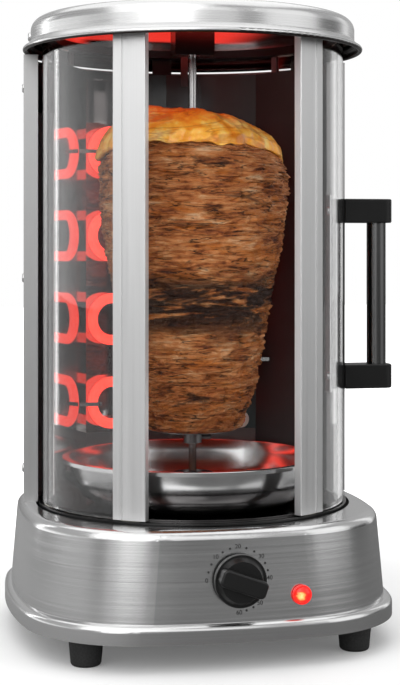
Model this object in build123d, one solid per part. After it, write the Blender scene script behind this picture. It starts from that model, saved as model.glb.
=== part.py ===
"""Electric vertical skewer grill: a steel base with a timer, a round glass chamber with a sliding
curved door, a heater and reflector at the back, and a turning spit over a drip tray.

Millimetres. The origin is on the spit's axis at the height the feet stand on. +Z is up and -Y is
the front, where the timer knob is. Angles round the axis are counted from the front, and grow
towards +X, the side the door handle is on.
"""
from build123d import *
import math
import os

# ---- Chamber: glass, posts and the sliding doors -------------------------------------------------
# The panes' radius drives the size of the chamber, and with it that of the base and the lid.
GLASS_R_OUT = 114.5        # outer radius of both curved panes
GLASS_WALL = 3.5           # pane thickness
GLASS_R_IN = GLASS_R_OUT - GLASS_WALL
POST_WIDTH = 25.0          # front profiles, measured round the chamber
POST_DEPTH = 6.5           # front profiles, measured radially
POST_WALL = 1.3            # wall of the hollow front profiles
POST_PROUD = 1.5           # how far their flat outer face stands out from the panes
POST_R_OUT = GLASS_R_OUT + POST_PROUD
POST_ANGLE = 35.0          # each front profile stands this far from the front
POST_GRIP = 6.0            # how deep a pane sits in a profile
GROOVE_WIDTH = 5.0         # decorative groove along each front profile
GROOVE_DEPTH = 0.7
SLOT_CLEARANCE = 0.1       # between a pane and the slot that holds it
DOOR_TAIL_ANGLE = 131.0    # trailing edge of each pane, from the front
TAIL_WIDTH = 5.0           # profile on that trailing edge
TAIL_WALL = 1.0

SIDE_POST_ANGLE = 97.5     # front face of each side post
SIDE_POST_CLEARANCE = 1.5  # between the sliding front profiles and the side posts
SIDE_POST_R_IN = POST_R_OUT + SIDE_POST_CLEARANCE
SIDE_POST_WIDTH = 10.0     # measured radially
SIDE_POST_DEPTH = 13.0     # round the chamber
SIDE_POST_WALL = 1.5

CASING_WALL = 0.8
CASING_R_OUT = SIDE_POST_R_IN + SIDE_POST_WIDTH     # half-round back
SIDE_POST_R_OUT = CASING_R_OUT + CASING_WALL

# ---- Heights ------------------------------------------------------------------------------------
FOOT_HEIGHT = 21.0
RIM_BOTTOM = FOOT_HEIGHT - 1.0
RIM_TOP = RIM_BOTTOM + 13.0
HOUSING_HEIGHT = 62.0
DECK_TOP = RIM_TOP + HOUSING_HEIGHT
TRACK_TOP = DECK_TOP + 1.5           # ring that the doors run on
CHAMBER_HEIGHT = 347.5               # from that ring to the upper one
UPPER_RING_BOTTOM = TRACK_TOP + CHAMBER_HEIGHT
UPPER_RING_TOP = UPPER_RING_BOTTOM + 5.5
CEILING_DEPTH = 3.0
CEILING_BOTTOM = UPPER_RING_TOP + CEILING_DEPTH
LID_TOP = CEILING_BOTTOM + 7.5
CASING_TOP = UPPER_RING_BOTTOM - 10.5

# ---- Base ---------------------------------------------------------------------------------------
SHEET = 1.0                # steel sheet of the base, lid and pans
BASE_MARGIN = 3.5          # deck outside the back casing
WALL_SLOPE = 5.0           # how far the housing's wall leans in from the rim to the deck
RIM_STEP = 5.0             # how far the rim stands out from the housing
WALL_HALF_HIGH = CASING_R_OUT + BASE_MARGIN  # half width it would reach at the deck unrounded
WALL_HALF_LOW = WALL_HALF_HIGH + WALL_SLOPE  # half width of the housing where it meets the rim
RIM_HALF = WALL_HALF_LOW + RIM_STEP          # half width of the rolled rim under the base
RIM_CORNER = 0.6 * RIM_HALF
WALL_CORNER = RIM_CORNER + 5.0
SIDE_CENTRE = 259.0        # the bowed sides are centred this far beyond the axis
RIM_ROUND = 4.5
RIM_LEDGE = 11.0           # width of the ledge that the housing stands on
DECK_ROUND = 7.0
PLATE_SHEET = 1.2          # bottom plate
PLATE_GAP = 0.3
FOOT_R = 12.5
FOOT_X = RIM_HALF - 44.0
FOOT_Y = RIM_HALF - 43.0
VENT_LENGTH = 46.0
VENT_WIDTH = 4.0
VENT_PITCH = 11.0
VENT_COUNT = 7
BASE_SCREW_X = 62.0

# ---- Rings and pans under the chamber -----------------------------------------------------------
DECK_HOLE_R = POST_R_OUT + 3.0
DISH_WALL_R = DECK_HOLE_R + 1.4      # pressed dish that hangs in the deck hole
DISH_FLOOR = DECK_TOP - 11.0
DISH_SHEET = 1.2
TRACK_R_OUT = DECK_HOLE_R - 0.3
TRACK_R_IN = GLASS_R_IN - 7.0
TRACK_STEP_R = TRACK_R_OUT - 1.9     # outside this the ring drops away to a dark groove
TRACK_STEP_Z = TRACK_TOP - 5.5
LEDGE_Z = DECK_TOP - 2.0             # inner ledge of the ring, under the cavity floor
FLOOR_RIM_R = GLASS_R_IN - 1.8
FLOOR_RIM_TOP = TRACK_TOP + 1.5
CHANNEL_R = GLASS_R_IN + 1.8         # middle of the doors' guide channels
CHANNEL_WIDTH = 1.8
CHANNEL_DEPTH = 3.5
UPPER_RING_R_IN = TRACK_R_IN
UPPER_RING_R_OUT = POST_R_OUT + 5.8
CEILING_R = UPPER_RING_R_IN - 4.0    # raised middle of the ceiling pan
CEILING_FLANGE_R = UPPER_RING_R_OUT - 3.8

# ---- Door glides --------------------------------------------------------------------------------
GLIDE_CLEARANCE = 0.25
GLIDE_LENGTH = 14.0
GLIDE_TONGUE_DEPTH = 2.8
DOOR_GAP = 1.0             # between the pane and each ring

# ---- Handle -------------------------------------------------------------------------------------
HANDLE_ANGLE = 90.0
HANDLE_LOW = DECK_TOP + 83.0
HANDLE_LENGTH = 147.0
HANDLE_HIGH = HANDLE_LOW + HANDLE_LENGTH
HANDLE_BLOCK_HEIGHT = 18.5
HANDLE_BLOCK_WIDTH = 24.0
HANDLE_R_OUT = GLASS_R_OUT + 43.5
HANDLE_BAR_R = 7.5
HANDLE_BAR_AT = HANDLE_R_OUT - 10.5  # radius of the bar's axis
HANDLE_STRIP = 4.0         # black strip against the glass, measured radially
HANDLE_STRIP_WIDTH = 20.0
HANDLE_PLATE = 1.5         # steel plate inside the glass
HANDLE_PLATE_WIDTH = 13.0
HANDLE_PLATE_GAP = 0.3
HANDLE_SCREW_R = 2.0

# ---- Lid ----------------------------------------------------------------------------------------
LID_GAP = 0.2              # between the upper ring and the lid's skirt
LID_R = UPPER_RING_R_OUT + LID_GAP + SHEET
LID_ROUND = 9.5
LID_FLARE_TOP = UPPER_RING_BOTTOM - 1.5
BRIM_R = LID_R + 6.0
BEAD_R = 1.9
BRIM_BEAD_Z = LID_FLARE_TOP - 5.8

# ---- Drip tray ----------------------------------------------------------------------------------
TRAY_R = FLOOR_RIM_R - 9.9
TRAY_DEPTH = 35.5
TRAY_TOP = LEDGE_Z + SHEET + TRAY_DEPTH
TRAY_SHEET = 0.8
TRAY_FOOT_R = TRAY_R - 37.3
TRAY_KNEE_R = TRAY_R - 15.3          # where the wall gets steeper
TRAY_KNEE_HEIGHT = 11.0
TRAY_HOLE_R = 15.0
TRAY_COLLAR_TOP = TRAY_TOP - 13.5
TRAY_LIP = 5.0

# ---- Heater and reflector -----------------------------------------------------------------------
HEATER_RUNS = 8
HEATER_PITCH = 33.5
HEATER_BOTTOM = TRAY_TOP + 16.5
HEATER_TUBE_R = 4.0
HEATER_STANDOFF = 10.0     # from the reflector's face to the tube's centre line
HEATER_FOLD_R = 14.0       # bend of each run where the two panels meet
HEATER_LEAD_BEND = 6.0
HEATER_LEAD = 16.0         # length of each bent-back end, with its bend
INSULATOR_R = 7.0
INSULATOR_LENGTH = 5.0
CLIP_HEIGHT = 3.0
CLIP_SHEET = 1.0
REFLECTOR_MIDDLE_Y = GLASS_R_IN - 11.0       # middle fold, behind the spit
REFLECTOR_Y = REFLECTOR_MIDDLE_Y - 20.0      # outer folds
REFLECTOR_HALF = REFLECTOR_MIDDLE_Y - 29.0
HEATER_REACH = REFLECTOR_HALF + 1.0          # from the middle fold to each turn, along the panel
REFLECTOR_BOTTOM = TRAY_TOP + 9.0            # lower edge of the two middle panels
REFLECTOR_WING_X = REFLECTOR_MIDDLE_Y + 4.0
REFLECTOR_WING_Y = 20.0
REFLECTOR_SHEET = 0.8
REFLECTOR_TOP = UPPER_RING_BOTTOM - 14.5
REFLECTOR_HANGER_X = 14.0
REFLECTOR_HANGER_DROP = 10.0

# ---- Spit, drive and load -----------------------------------------------------------------------
SPIT_R = 3.0
RUNNING_CLEARANCE = 0.06
SOCKET_R = 7.0
SOCKET_LOW = LEDGE_Z + SHEET + 1.3
SOCKET_HEIGHT = 17.7
SOCKET_HIGH = SOCKET_LOW + SOCKET_HEIGHT
SPIT_FOOT = SOCKET_LOW + 5.7
SPIT_TOP = CEILING_BOTTOM - 5.5
SHAFT_R = 3.5
BUSH_WALL = 2.5
MOTOR_R = 25.0
MOTOR_HEIGHT = 16.0
GEARBOX_HEIGHT = 9.0
GEARBOX_R = 24.0
MOTOR_EAR_X = 29.5
DISC_R = 27.0
DISC_SHEET = 1.5
BRACKET_WIDTH = 30.5
BRACKET_DEPTH = 18.0
BRACKET_HEIGHT = 18.9
BRACKET_BOTTOM = CEILING_BOTTOM - BRACKET_HEIGHT
BRACKET_WALL = 2.0
MEAT_FOOT = TRAY_TOP + 19.5
MEAT_FOOT_R = 34.0
MEAT_LOW = (48.0, MEAT_FOOT + 37.0)          # radius and height of points on its outline
MEAT_MID = (60.0, MEAT_FOOT + 98.0)
MEAT_HIGH = (71.0, MEAT_FOOT + 169.0)
MEAT_WIDEST = (72.0, MEAT_FOOT + 196.0)
MEAT_SHOULDER = (64.0, MEAT_FOOT + 219.0)
MEAT_TOP = MEAT_FOOT + 227.0
FAT_SKIRT = MEAT_FOOT + 203.0
FAT_THICK = 3.5
FAT_TOP = MEAT_FOOT + 248.0

# ---- Controls -----------------------------------------------------------------------------------
KNOB_X = 2.5
KNOB_Z = RIM_TOP + 28.5
KNOB_R = 18.0
KNOB_DEPTH = 16.0
KNOB_BAR_WIDTH = 12.0
KNOB_GAP = 1.4             # between the housing and the knob's skirt
KNOB_TURN = -20.0          # the grip bar leans this far from level
TIMER_SIZE = 36.0
TIMER_DEPTH = 26.0
TIMER_SHAFT_R = 3.0
TIMER_BUSHING_R = 4.5
LAMP_X = 47.5
LAMP_Z = RIM_TOP + 16.0
LAMP_R = 5.7
LAMP_BEZEL_R = 6.8
LAMP_HOLE_R = 5.0

# ---- Small parts --------------------------------------------------------------------------------
SCREW_R = 1.75
SCREW_HEAD_R = 3.5
SCREW_HEAD_HEIGHT = 2.2
HOLE_CLEARANCE = 0.15
GLAND_R = 8.0
GLAND_Z = RIM_TOP + 27.0
GLAND_BORE_R = 3.7
TINY = 0.01


def radians_of(arc_length, radius):
    """Angle in degrees that an arc takes up on a circle."""
    return math.degrees(arc_length / radius)


def ring(r_in, r_out, low, high):
    """Plain ring about the spit's axis."""
    tall = high - low
    outer = Pos(0, 0, low) * Cylinder(r_out, tall, align=(Align.CENTER, Align.CENTER, Align.MIN))
    hole = Pos(0, 0, low - 1) * Cylinder(r_in, tall + 2, align=(Align.CENTER, Align.CENTER, Align.MIN))
    return outer - hole


def disc(radius, low, high, x=0.0, y=0.0):
    """Upright cylinder from low to high."""
    shape = Cylinder(radius, high - low, align=(Align.CENTER, Align.CENTER, Align.MIN))
    return Pos(x, y, low) * shape


def sector(r_in, r_out, low, high, start, end):
    """Part of a ring between two angles counted from the front."""
    outer = CenterArc((0, 0), r_out, start - 90, end - start)
    inner = CenterArc((0, 0), r_in, start - 90, end - start)
    sides = [Line(inner @ 0, outer @ 0), Line(inner @ 1, outer @ 1)]
    face = make_face([outer.edge(), inner.edge(), sides[0].edge(), sides[1].edge()])
    return Pos(0, 0, low) * extrude(face, high - low)


def block(x0, x1, y0, y1, z0, z1):
    """Box given by its corners."""
    shape = Box(x1 - x0, y1 - y0, z1 - z0)
    return Pos((x0 + x1) / 2, (y0 + y1) / 2, (z0 + z1) / 2) * shape


def radial_block(r_in, r_out, width, low, high, angle=0.0, shift=0.0):
    """Box lying along a radius, width measured round the chamber."""
    shape = block(shift - width / 2, shift + width / 2, -r_out, -r_in, low, high)
    return Rot(0, 0, angle) * shape


def radial_rod(radius, r_in, r_out, height, angle, shift=0.0):
    """Round rod lying along a radius."""
    rod = Cylinder(radius, r_out - r_in)
    placed = Pos(shift, -(r_in + r_out) / 2, height) * (Rot(90, 0, 0) * rod)
    return Rot(0, 0, angle) * placed


def front_rod(radius, y0, y1, x, z):
    """Round rod lying along Y."""
    rod = Cylinder(radius, y1 - y0)
    return Pos(x, (y0 + y1) / 2, z) * (Rot(90, 0, 0) * rod)


def side_at(half, x):
    """Distance from the axis plane to a bowed side of that half width, at x along the side."""
    return math.sqrt((SIDE_CENTRE + half) ** 2 - x ** 2) - SIDE_CENTRE


def bowed_square(half, corner):
    """Face with four slightly bowed sides and round corners that run smoothly into them."""
    side_r = SIDE_CENTRE + half
    corner_at = (math.sqrt(2 * (side_r - corner) ** 2 - SIDE_CENTRE ** 2) - SIDE_CENTRE) / 2
    reach = math.atan2(corner_at, corner_at + SIDE_CENTRE)
    end = (side_r * math.cos(reach) - SIDE_CENTRE, side_r * math.sin(reach))
    tip = corner_at + corner * math.sqrt(0.5)
    arcs = []
    for turn in range(4):
        side = ThreePointArc((end[0], -end[1]), (half, 0), end)
        bend = ThreePointArc(end, (tip, tip), (end[1], end[0]))
        arcs += [Rot(0, 0, 90 * turn) * side, Rot(0, 0, 90 * turn) * bend]
    return make_face([arc.edge() for arc in arcs]).face()


def bowed_prism(half, corner, low, high):
    """Upright prism on that face."""
    return Pos(0, 0, low) * extrude(bowed_square(half, corner), high - low)


def revolved(points):
    """Solid turned from a closed outline of (radius, height) points."""
    outline = Polyline([(r, 0, z) for r, z in points], close=True)
    return revolve(make_face(outline), Axis.Z)


def screw(length, x=0.0, y=0.0, z=0.0, tilt=(0, 0, 0)):
    """Pan head screw, head at the origin's upper side, shank down."""
    shank = disc(SCREW_R, -length, 0)
    head = disc(SCREW_HEAD_R, 0, SCREW_HEAD_HEIGHT)
    top = head.edges().group_by(Axis.Z)[-1]
    head = fillet(top, SCREW_HEAD_HEIGHT * 0.6)
    slot = Box(SCREW_HEAD_R * 1.1, 0.8, 1.0)
    cross = slot + Rot(0, 0, 90) * slot
    head = head - Pos(0, 0, SCREW_HEAD_HEIGHT) * cross
    return Pos(x, y, z) * (Rot(*tilt) * (shank + head))


def wall_half(z):
    """Half width of the sloping housing wall at a height."""
    share = (z - RIM_TOP) / (DECK_TOP - RIM_TOP)
    return WALL_HALF_LOW + share * (WALL_HALF_HIGH - WALL_HALF_LOW)


def wall_front(x, z):
    """Y of the housing's outer face on the front side."""
    return -side_at(wall_half(z), x)


def save(name, shape):
    """Write one sub-part as a STEP file."""
    export_step(shape, os.path.join("parts", name + ".step"))


# ---- Base ---------------------------------------------------------------------------------------
def housing_block(inset, top):
    """Tapered block that the housing's outer and inner faces come from."""
    low = wall_half(RIM_TOP) - inset
    high = wall_half(DECK_TOP) - inset
    corner = WALL_CORNER - inset
    lower = Pos(0, 0, RIM_TOP) * bowed_square(low, corner)
    upper = Pos(0, 0, top) * bowed_square(high, corner)
    body = loft([lower, upper])
    edges = body.edges().group_by(Axis.Z)[-1]
    return fillet(edges, DECK_ROUND - inset)


def base_housing():
    body = housing_block(0, DECK_TOP)
    inside = housing_block(SHEET, DECK_TOP - SHEET)
    lowest = wall_half(RIM_TOP) - SHEET
    inside = inside + bowed_prism(lowest, WALL_CORNER - SHEET, RIM_TOP - 1, RIM_TOP + TINY)
    body = body - inside
    body = body - disc(DECK_HOLE_R, DECK_TOP - 12, DECK_TOP + 1)
    wall = -wall_half(KNOB_Z)
    body = body - front_rod(TIMER_BUSHING_R + HOLE_CLEARANCE, wall - 5, wall + 6, KNOB_X, KNOB_Z)
    body = body - front_rod(LAMP_HOLE_R, wall - 5, wall + 6, LAMP_X, LAMP_Z)
    return body - front_rod(GLAND_R + HOLE_CLEARANCE, -wall - 6, -wall + 6, 0, GLAND_Z)


def base_rim():
    outer = bowed_prism(RIM_HALF, RIM_CORNER, RIM_BOTTOM, RIM_TOP)
    outer = fillet(outer.edges().group_by(Axis.Z)[-1], RIM_ROUND)
    inner_half = RIM_HALF - SHEET
    inner = bowed_prism(inner_half, RIM_CORNER - SHEET, RIM_BOTTOM - 1, RIM_TOP - SHEET)
    inner = fillet(inner.edges().group_by(Axis.Z)[-1], RIM_ROUND - SHEET)
    hole_half = RIM_HALF - RIM_LEDGE
    hole = bowed_prism(hole_half, RIM_CORNER - RIM_LEDGE, RIM_BOTTOM, RIM_TOP + 1)
    rim = outer - inner - hole
    for place in base_screw_places():
        rim = rim - disc(SCREW_R + HOLE_CLEARANCE, RIM_BOTTOM, RIM_TOP + 1, *place)
    return rim


def base_screw_places():
    """Screws that hold the bottom plate up against the rim's ledge."""
    side = BASE_SCREW_X
    edge = side_at(RIM_HALF - RIM_LEDGE + SCREW_HEAD_R - 0.5, side)
    return [(side, -edge), (-side, -edge), (side, edge), (-side, edge)]


def bottom_plate():
    half = RIM_HALF - SHEET - PLATE_GAP
    low = FOOT_HEIGHT
    plate = bowed_prism(half, RIM_CORNER - SHEET - PLATE_GAP, low, low + PLATE_SHEET)
    for index in range(VENT_COUNT):
        y = (index - (VENT_COUNT - 1) / 2) * VENT_PITCH
        slot = extrude(SlotOverall(VENT_LENGTH, VENT_WIDTH), PLATE_SHEET + 2)
        plate = plate - Pos(0, y, low - 1) * slot
    for x, y in base_screw_places() + foot_places():
        plate = plate - disc(SCREW_R + HOLE_CLEARANCE, low - 1, low + 3, x, y)
    return plate


def base_screws():
    tops = FOOT_HEIGHT
    length = RIM_TOP - FOOT_HEIGHT - TINY
    places = base_screw_places()
    return Compound(children=[screw(length, x, y, tops, (180, 0, 0)) for x, y in places])


def foot_places():
    return [(x, y) for x in (-FOOT_X, FOOT_X) for y in (-FOOT_Y, FOOT_Y)]


def feet():
    pads = []
    for x, y in foot_places():
        pad = Pos(0, 0, 0) * Cone(FOOT_R - 2, FOOT_R, FOOT_HEIGHT,
                                  align=(Align.CENTER, Align.CENTER, Align.MIN))
        pad = fillet(pad.edges().group_by(Axis.Z)[0], 2.5)
        recess = disc(SCREW_HEAD_R + 1.5, -1, FOOT_HEIGHT - 9)
        hole = disc(SCREW_R + HOLE_CLEARANCE, -1, FOOT_HEIGHT + 1)
        pads.append(Pos(x, y, 0) * (pad - recess - hole))
    return Compound(children=pads)


def foot_screws():
    seat = FOOT_HEIGHT - 9
    length = 9 + PLATE_SHEET + 4
    return Compound(children=[screw(length, x, y, seat, (180, 0, 0)) for x, y in foot_places()])


def foot_nuts():
    """Nuts on top of the bottom plate."""
    nuts = []
    low = FOOT_HEIGHT + PLATE_SHEET
    for x, y in foot_places():
        nut = extrude(RegularPolygon(4.0, 6), 3.0)
        nut = nut - disc(SCREW_R + HOLE_CLEARANCE, -1, 4)
        nuts.append(Pos(x, y, low) * nut)
    return Compound(children=nuts)


def cord_gland():
    """Strain relief in the rear wall of the base, where the mains lead goes in."""
    wall = wall_half(GLAND_Z)
    body = front_rod(GLAND_R, wall - 10, wall + 3, 0, GLAND_Z)
    flange = front_rod(GLAND_R + 3, wall + 0.9, wall + 4.5, 0, GLAND_Z)
    nose = Pos(0, wall + 4.5 + 5, GLAND_Z) * (Rot(-90, 0, 0) * Cone(GLAND_R - 1, 5, 10))
    bore = front_rod(GLAND_BORE_R, wall - 20, wall + 30, 0, GLAND_Z)
    return body + flange + nose - bore


# ---- Electrical parts inside the base -------------------------------------------------------------
def timer_front():
    """Y of the timer's front, inside the sloping wall."""
    return wall_front(KNOB_X + TIMER_SIZE / 2, KNOB_Z + TIMER_SIZE / 2) + SHEET + 0.2


def timer_body():
    front = timer_front()
    half = TIMER_SIZE / 2
    body = block(KNOB_X - half, KNOB_X + half, front, front + TIMER_DEPTH, KNOB_Z - half, KNOB_Z + half)
    body = fillet(body.edges().filter_by(Axis.Y), 5)
    bushing = front_rod(TIMER_BUSHING_R, front - 6, front + 1, KNOB_X, KNOB_Z)
    bore = front_rod(TIMER_SHAFT_R + RUNNING_CLEARANCE, front - 8, front + 12, KNOB_X, KNOB_Z)
    return body + bushing - bore


def timer_nut():
    """Ring nut on the timer's bushing, against the outside of the housing."""
    seat = -wall_half(KNOB_Z - TIMER_BUSHING_R - 3) - 0.05
    nut = front_rod(TIMER_BUSHING_R + 3, seat - 1.6, seat, KNOB_X, KNOB_Z)
    return nut - front_rod(TIMER_BUSHING_R + 0.05, seat - 4, seat + 3, KNOB_X, KNOB_Z)


def knob_back():
    """Y of the knob's skirt."""
    return -wall_half(KNOB_Z - KNOB_R) - KNOB_GAP


def timer_shaft():
    return front_rod(TIMER_SHAFT_R, knob_back() - 8, timer_front() + 11, KNOB_X, KNOB_Z)


def timer_knob():
    """Round skirt with a raised grip bar, turned to where the timer stands."""
    skirt = Cylinder(KNOB_R, 4.5, align=(Align.CENTER, Align.CENTER, Align.MIN))
    dome = Pos(0, 0, 4.5) * Cone(KNOB_R - 1.5, KNOB_R - 4, 4,
                                 align=(Align.CENTER, Align.CENTER, Align.MIN))
    bar = Box(2 * KNOB_R - 3, KNOB_BAR_WIDTH, KNOB_DEPTH, align=(Align.CENTER, Align.CENTER, Align.MIN))
    bar = fillet(bar.edges().filter_by(Axis.Z), 3.5)
    bar = fillet(bar.edges().group_by(Axis.Z)[-1], 1.5)
    knob = skirt + dome + bar
    pocket = disc(TIMER_BUSHING_R + 4, -1, 3.4)
    knob = knob - pocket - disc(TIMER_SHAFT_R + 0.02, -1, 9)
    knob = Rot(0, 0, KNOB_TURN) * knob
    return Pos(KNOB_X, knob_back(), KNOB_Z) * (Rot(90, 0, 0) * knob)


def lamp_seat():
    """Y of the lamp's flange against the sloping wall."""
    return wall_front(LAMP_X - LAMP_BEZEL_R, LAMP_Z - LAMP_BEZEL_R) - 0.05


def lamp_lens():
    seat = lamp_seat()
    flange = front_rod(LAMP_BEZEL_R, seat - 2, seat, LAMP_X, LAMP_Z)
    flange = fillet(flange.edges().group_by(Axis.Y)[0], 0.8)
    front = block(LAMP_X - 9, LAMP_X + 9, seat - 9, seat - 2, LAMP_Z - 9, LAMP_Z + 9)
    dome = Pos(LAMP_X, seat - 2, LAMP_Z) * scale(Sphere(LAMP_R), (1, 0.45, 1))
    return flange + (dome & front)


def lamp_body():
    seat = lamp_seat()
    nut_r = LAMP_HOLE_R + 3
    inside = wall_front(LAMP_X + nut_r, LAMP_Z + nut_r) + SHEET + 0.1
    stem = front_rod(LAMP_HOLE_R - 0.2, seat, seat + 18, LAMP_X, LAMP_Z)
    nut = front_rod(nut_r, inside, inside + 3, LAMP_X, LAMP_Z)
    tabs = [block(LAMP_X + s - 0.4, LAMP_X + s + 0.4, seat + 17, seat + 24, LAMP_Z - 2.4, LAMP_Z + 2.4)
            for s in (-2.5, 2.5)]
    return stem + nut + tabs[0] + tabs[1]


def terminal_block():
    low = FOOT_HEIGHT + PLATE_SHEET
    body = block(-26, 26, 62, 80, low, low + 14)
    for x in (-18, -6, 6, 18):
        body = body - disc(2.4, low + 5, low + 15, x, 66.5)
        body = body - disc(2.4, low + 5, low + 15, x, 75.5)
    return body


def thermal_cutout():
    """Bimetal safety switch clamped under the dish."""
    top = DISH_FLOOR - DISH_SHEET
    cap = disc(8.0, top - 3, top, 0, 78)
    body = disc(7.4, top - 13, top - 3, 0, 78)
    tabs = [block(s - 3.2, s + 3.2, 77.6, 78.4, top - 20, top - 12) for s in (-4.0, 4.0)]
    return cap + body + tabs[0] + tabs[1]


# ---- Rings, pans and drive ------------------------------------------------------------------------
def chassis_dish():
    floor = ring(SHAFT_R + 2.5, DISH_WALL_R, DISH_FLOOR - DISH_SHEET, DISH_FLOOR)
    wall = ring(DISH_WALL_R - DISH_SHEET, DISH_WALL_R, DISH_FLOOR - DISH_SHEET, DECK_TOP - SHEET)
    dish = floor + wall
    for x in (-MOTOR_EAR_X, MOTOR_EAR_X):
        dish = dish - disc(SCREW_R + HOLE_CLEARANCE, DISH_FLOOR - 3, DISH_FLOOR + 3, x, 0)
    return dish


def guide_channel(low, high):
    """Cutter for the door's guide channel."""
    return ring(CHANNEL_R - CHANNEL_WIDTH / 2, CHANNEL_R + CHANNEL_WIDTH / 2, low, high)


def track_ring():
    lower = ring(TRACK_R_IN, TRACK_R_OUT, DISH_FLOOR, TRACK_STEP_Z)
    ledge = ring(TRACK_R_IN, TRACK_STEP_R, TRACK_STEP_Z, LEDGE_Z)
    upper = ring(FLOOR_RIM_R + 0.2, TRACK_STEP_R, LEDGE_Z, TRACK_TOP)
    body = lower + ledge + upper
    return body - guide_channel(TRACK_TOP - CHANNEL_DEPTH, TRACK_TOP + 1)


def cavity_floor():
    plate = ring(SHAFT_R + BUSH_WALL, FLOOR_RIM_R, LEDGE_Z, LEDGE_Z + SHEET)
    rim = ring(FLOOR_RIM_R - SHEET, FLOOR_RIM_R, LEDGE_Z, FLOOR_RIM_TOP)
    return plate + rim


def floor_bush():
    """Flanged bush for the drive shaft in the cavity floor."""
    bore = SHAFT_R + RUNNING_CLEARANCE
    stem = ring(bore, SHAFT_R + BUSH_WALL - 0.02, LEDGE_Z - 4, LEDGE_Z + SHEET)
    return stem + ring(bore, SHAFT_R + BUSH_WALL + 2.5, LEDGE_Z - 2, LEDGE_Z)


def gearbox():
    high = DISH_FLOOR - DISH_SHEET
    low = high - GEARBOX_HEIGHT
    body = disc(GEARBOX_R, low, high)
    ears = extrude(SlotOverall(2 * (MOTOR_EAR_X + 5), 10), 1.5)
    body = body + Pos(0, 0, high - 1.5) * ears
    for x in (-MOTOR_EAR_X, MOTOR_EAR_X):
        body = body - disc(SCREW_R + HOLE_CLEARANCE, low, high + 1, x, 0)
    return body - disc(SHAFT_R + RUNNING_CLEARANCE, low + 3, high + 1)


def motor():
    high = DISH_FLOOR - DISH_SHEET - GEARBOX_HEIGHT
    can = disc(MOTOR_R, high - MOTOR_HEIGHT, high)
    can = fillet(can.edges().group_by(Axis.Z)[0], 2)
    return can + block(-9, 9, MOTOR_R - 2, MOTOR_R + 5, high - 12, high - 3)


def motor_screws():
    top = DISH_FLOOR
    return Compound(children=[screw(6, x, 0, top) for x in (-MOTOR_EAR_X, MOTOR_EAR_X)])


def drive_shaft():
    low = DISH_FLOOR - DISH_SHEET - GEARBOX_HEIGHT + 3.2
    return disc(SHAFT_R, low, SPIT_FOOT - 1)


def drive_socket():
    """Cup on the drive shaft that the foot of the spit drops into."""
    body = disc(SOCKET_R, SOCKET_LOW, SOCKET_HIGH)
    body = chamfer(body.edges().group_by(Axis.Z)[-1], 1.2)
    body = body - disc(SHAFT_R + 0.02, SOCKET_LOW - 1, SPIT_FOOT - 1)
    body = body - disc(SPIT_R + 0.05, SPIT_FOOT - 0.5, SOCKET_HIGH + 1)
    return body


def spit_rod():
    rod = disc(SPIT_R, SPIT_FOOT, SPIT_TOP)
    return chamfer(rod.edges().group_by(Axis.Z)[-1], 1.0)


def spit_disc():
    """Plate that the load stands on, with the hub that clamps it to the spit."""
    high = MEAT_FOOT
    plate = disc(DISC_R, high - DISC_SHEET, high)
    hub = disc(SPIT_R + 4, high - DISC_SHEET - 9, high - DISC_SHEET)
    bore = disc(SPIT_R + 0.05, high - 20, high + 1)
    thumb = Pos(SPIT_R + 7, 0, high - DISC_SHEET - 5) * (Rot(0, 90, 0) * Cylinder(2.0, 8))
    return plate + hub + thumb - bore


# ---- Load -----------------------------------------------------------------------------------------
def meat_outline():
    """Rounded outline of the meat from its foot to its flat top."""
    rising = Spline((MEAT_FOOT_R, 0, MEAT_FOOT), (MEAT_LOW[0], 0, MEAT_LOW[1]),
                    (MEAT_MID[0], 0, MEAT_MID[1]), (MEAT_HIGH[0], 0, MEAT_HIGH[1]),
                    (MEAT_WIDEST[0], 0, MEAT_WIDEST[1]), (MEAT_SHOULDER[0], 0, MEAT_SHOULDER[1]))
    slope = Line(rising @ 1, (MEAT_SHOULDER[0] - 18, 0, MEAT_TOP))
    top = Line(slope @ 1, (0, 0, MEAT_TOP))
    axis = Line(top @ 1, (0, 0, MEAT_FOOT))
    foot = Line(axis @ 1, rising @ 0)
    return [rising, slope, top, axis, foot]


def meat_solid():
    return revolve(make_face([line.edge() for line in meat_outline()]), Axis.Z)


def meat_stack():
    return meat_solid() - disc(SPIT_R + 0.05, MEAT_FOOT - 1, FAT_TOP + 1)


def fat_cap():
    """Domed cap of fat over the shoulder of the meat."""
    radius = MEAT_WIDEST[0] + FAT_THICK * 0.6
    side = Spline((radius, 0, FAT_SKIRT), (MEAT_SHOULDER[0] + FAT_THICK, 0, MEAT_TOP - 2),
                  (MEAT_WIDEST[0] / 2, 0, FAT_TOP - 5), (0, 0, FAT_TOP), tangents=[(0, 0, 1), (-1, 0, 0)])
    drop = Line(side @ 1, (0, 0, FAT_SKIRT))
    close = Line(drop @ 1, side @ 0)
    dome = revolve(make_face([side.edge(), drop.edge(), close.edge()]), Axis.Z)
    return dome - meat_solid() - disc(SPIT_R + 0.05, MEAT_FOOT, FAT_TOP + 5)


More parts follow.
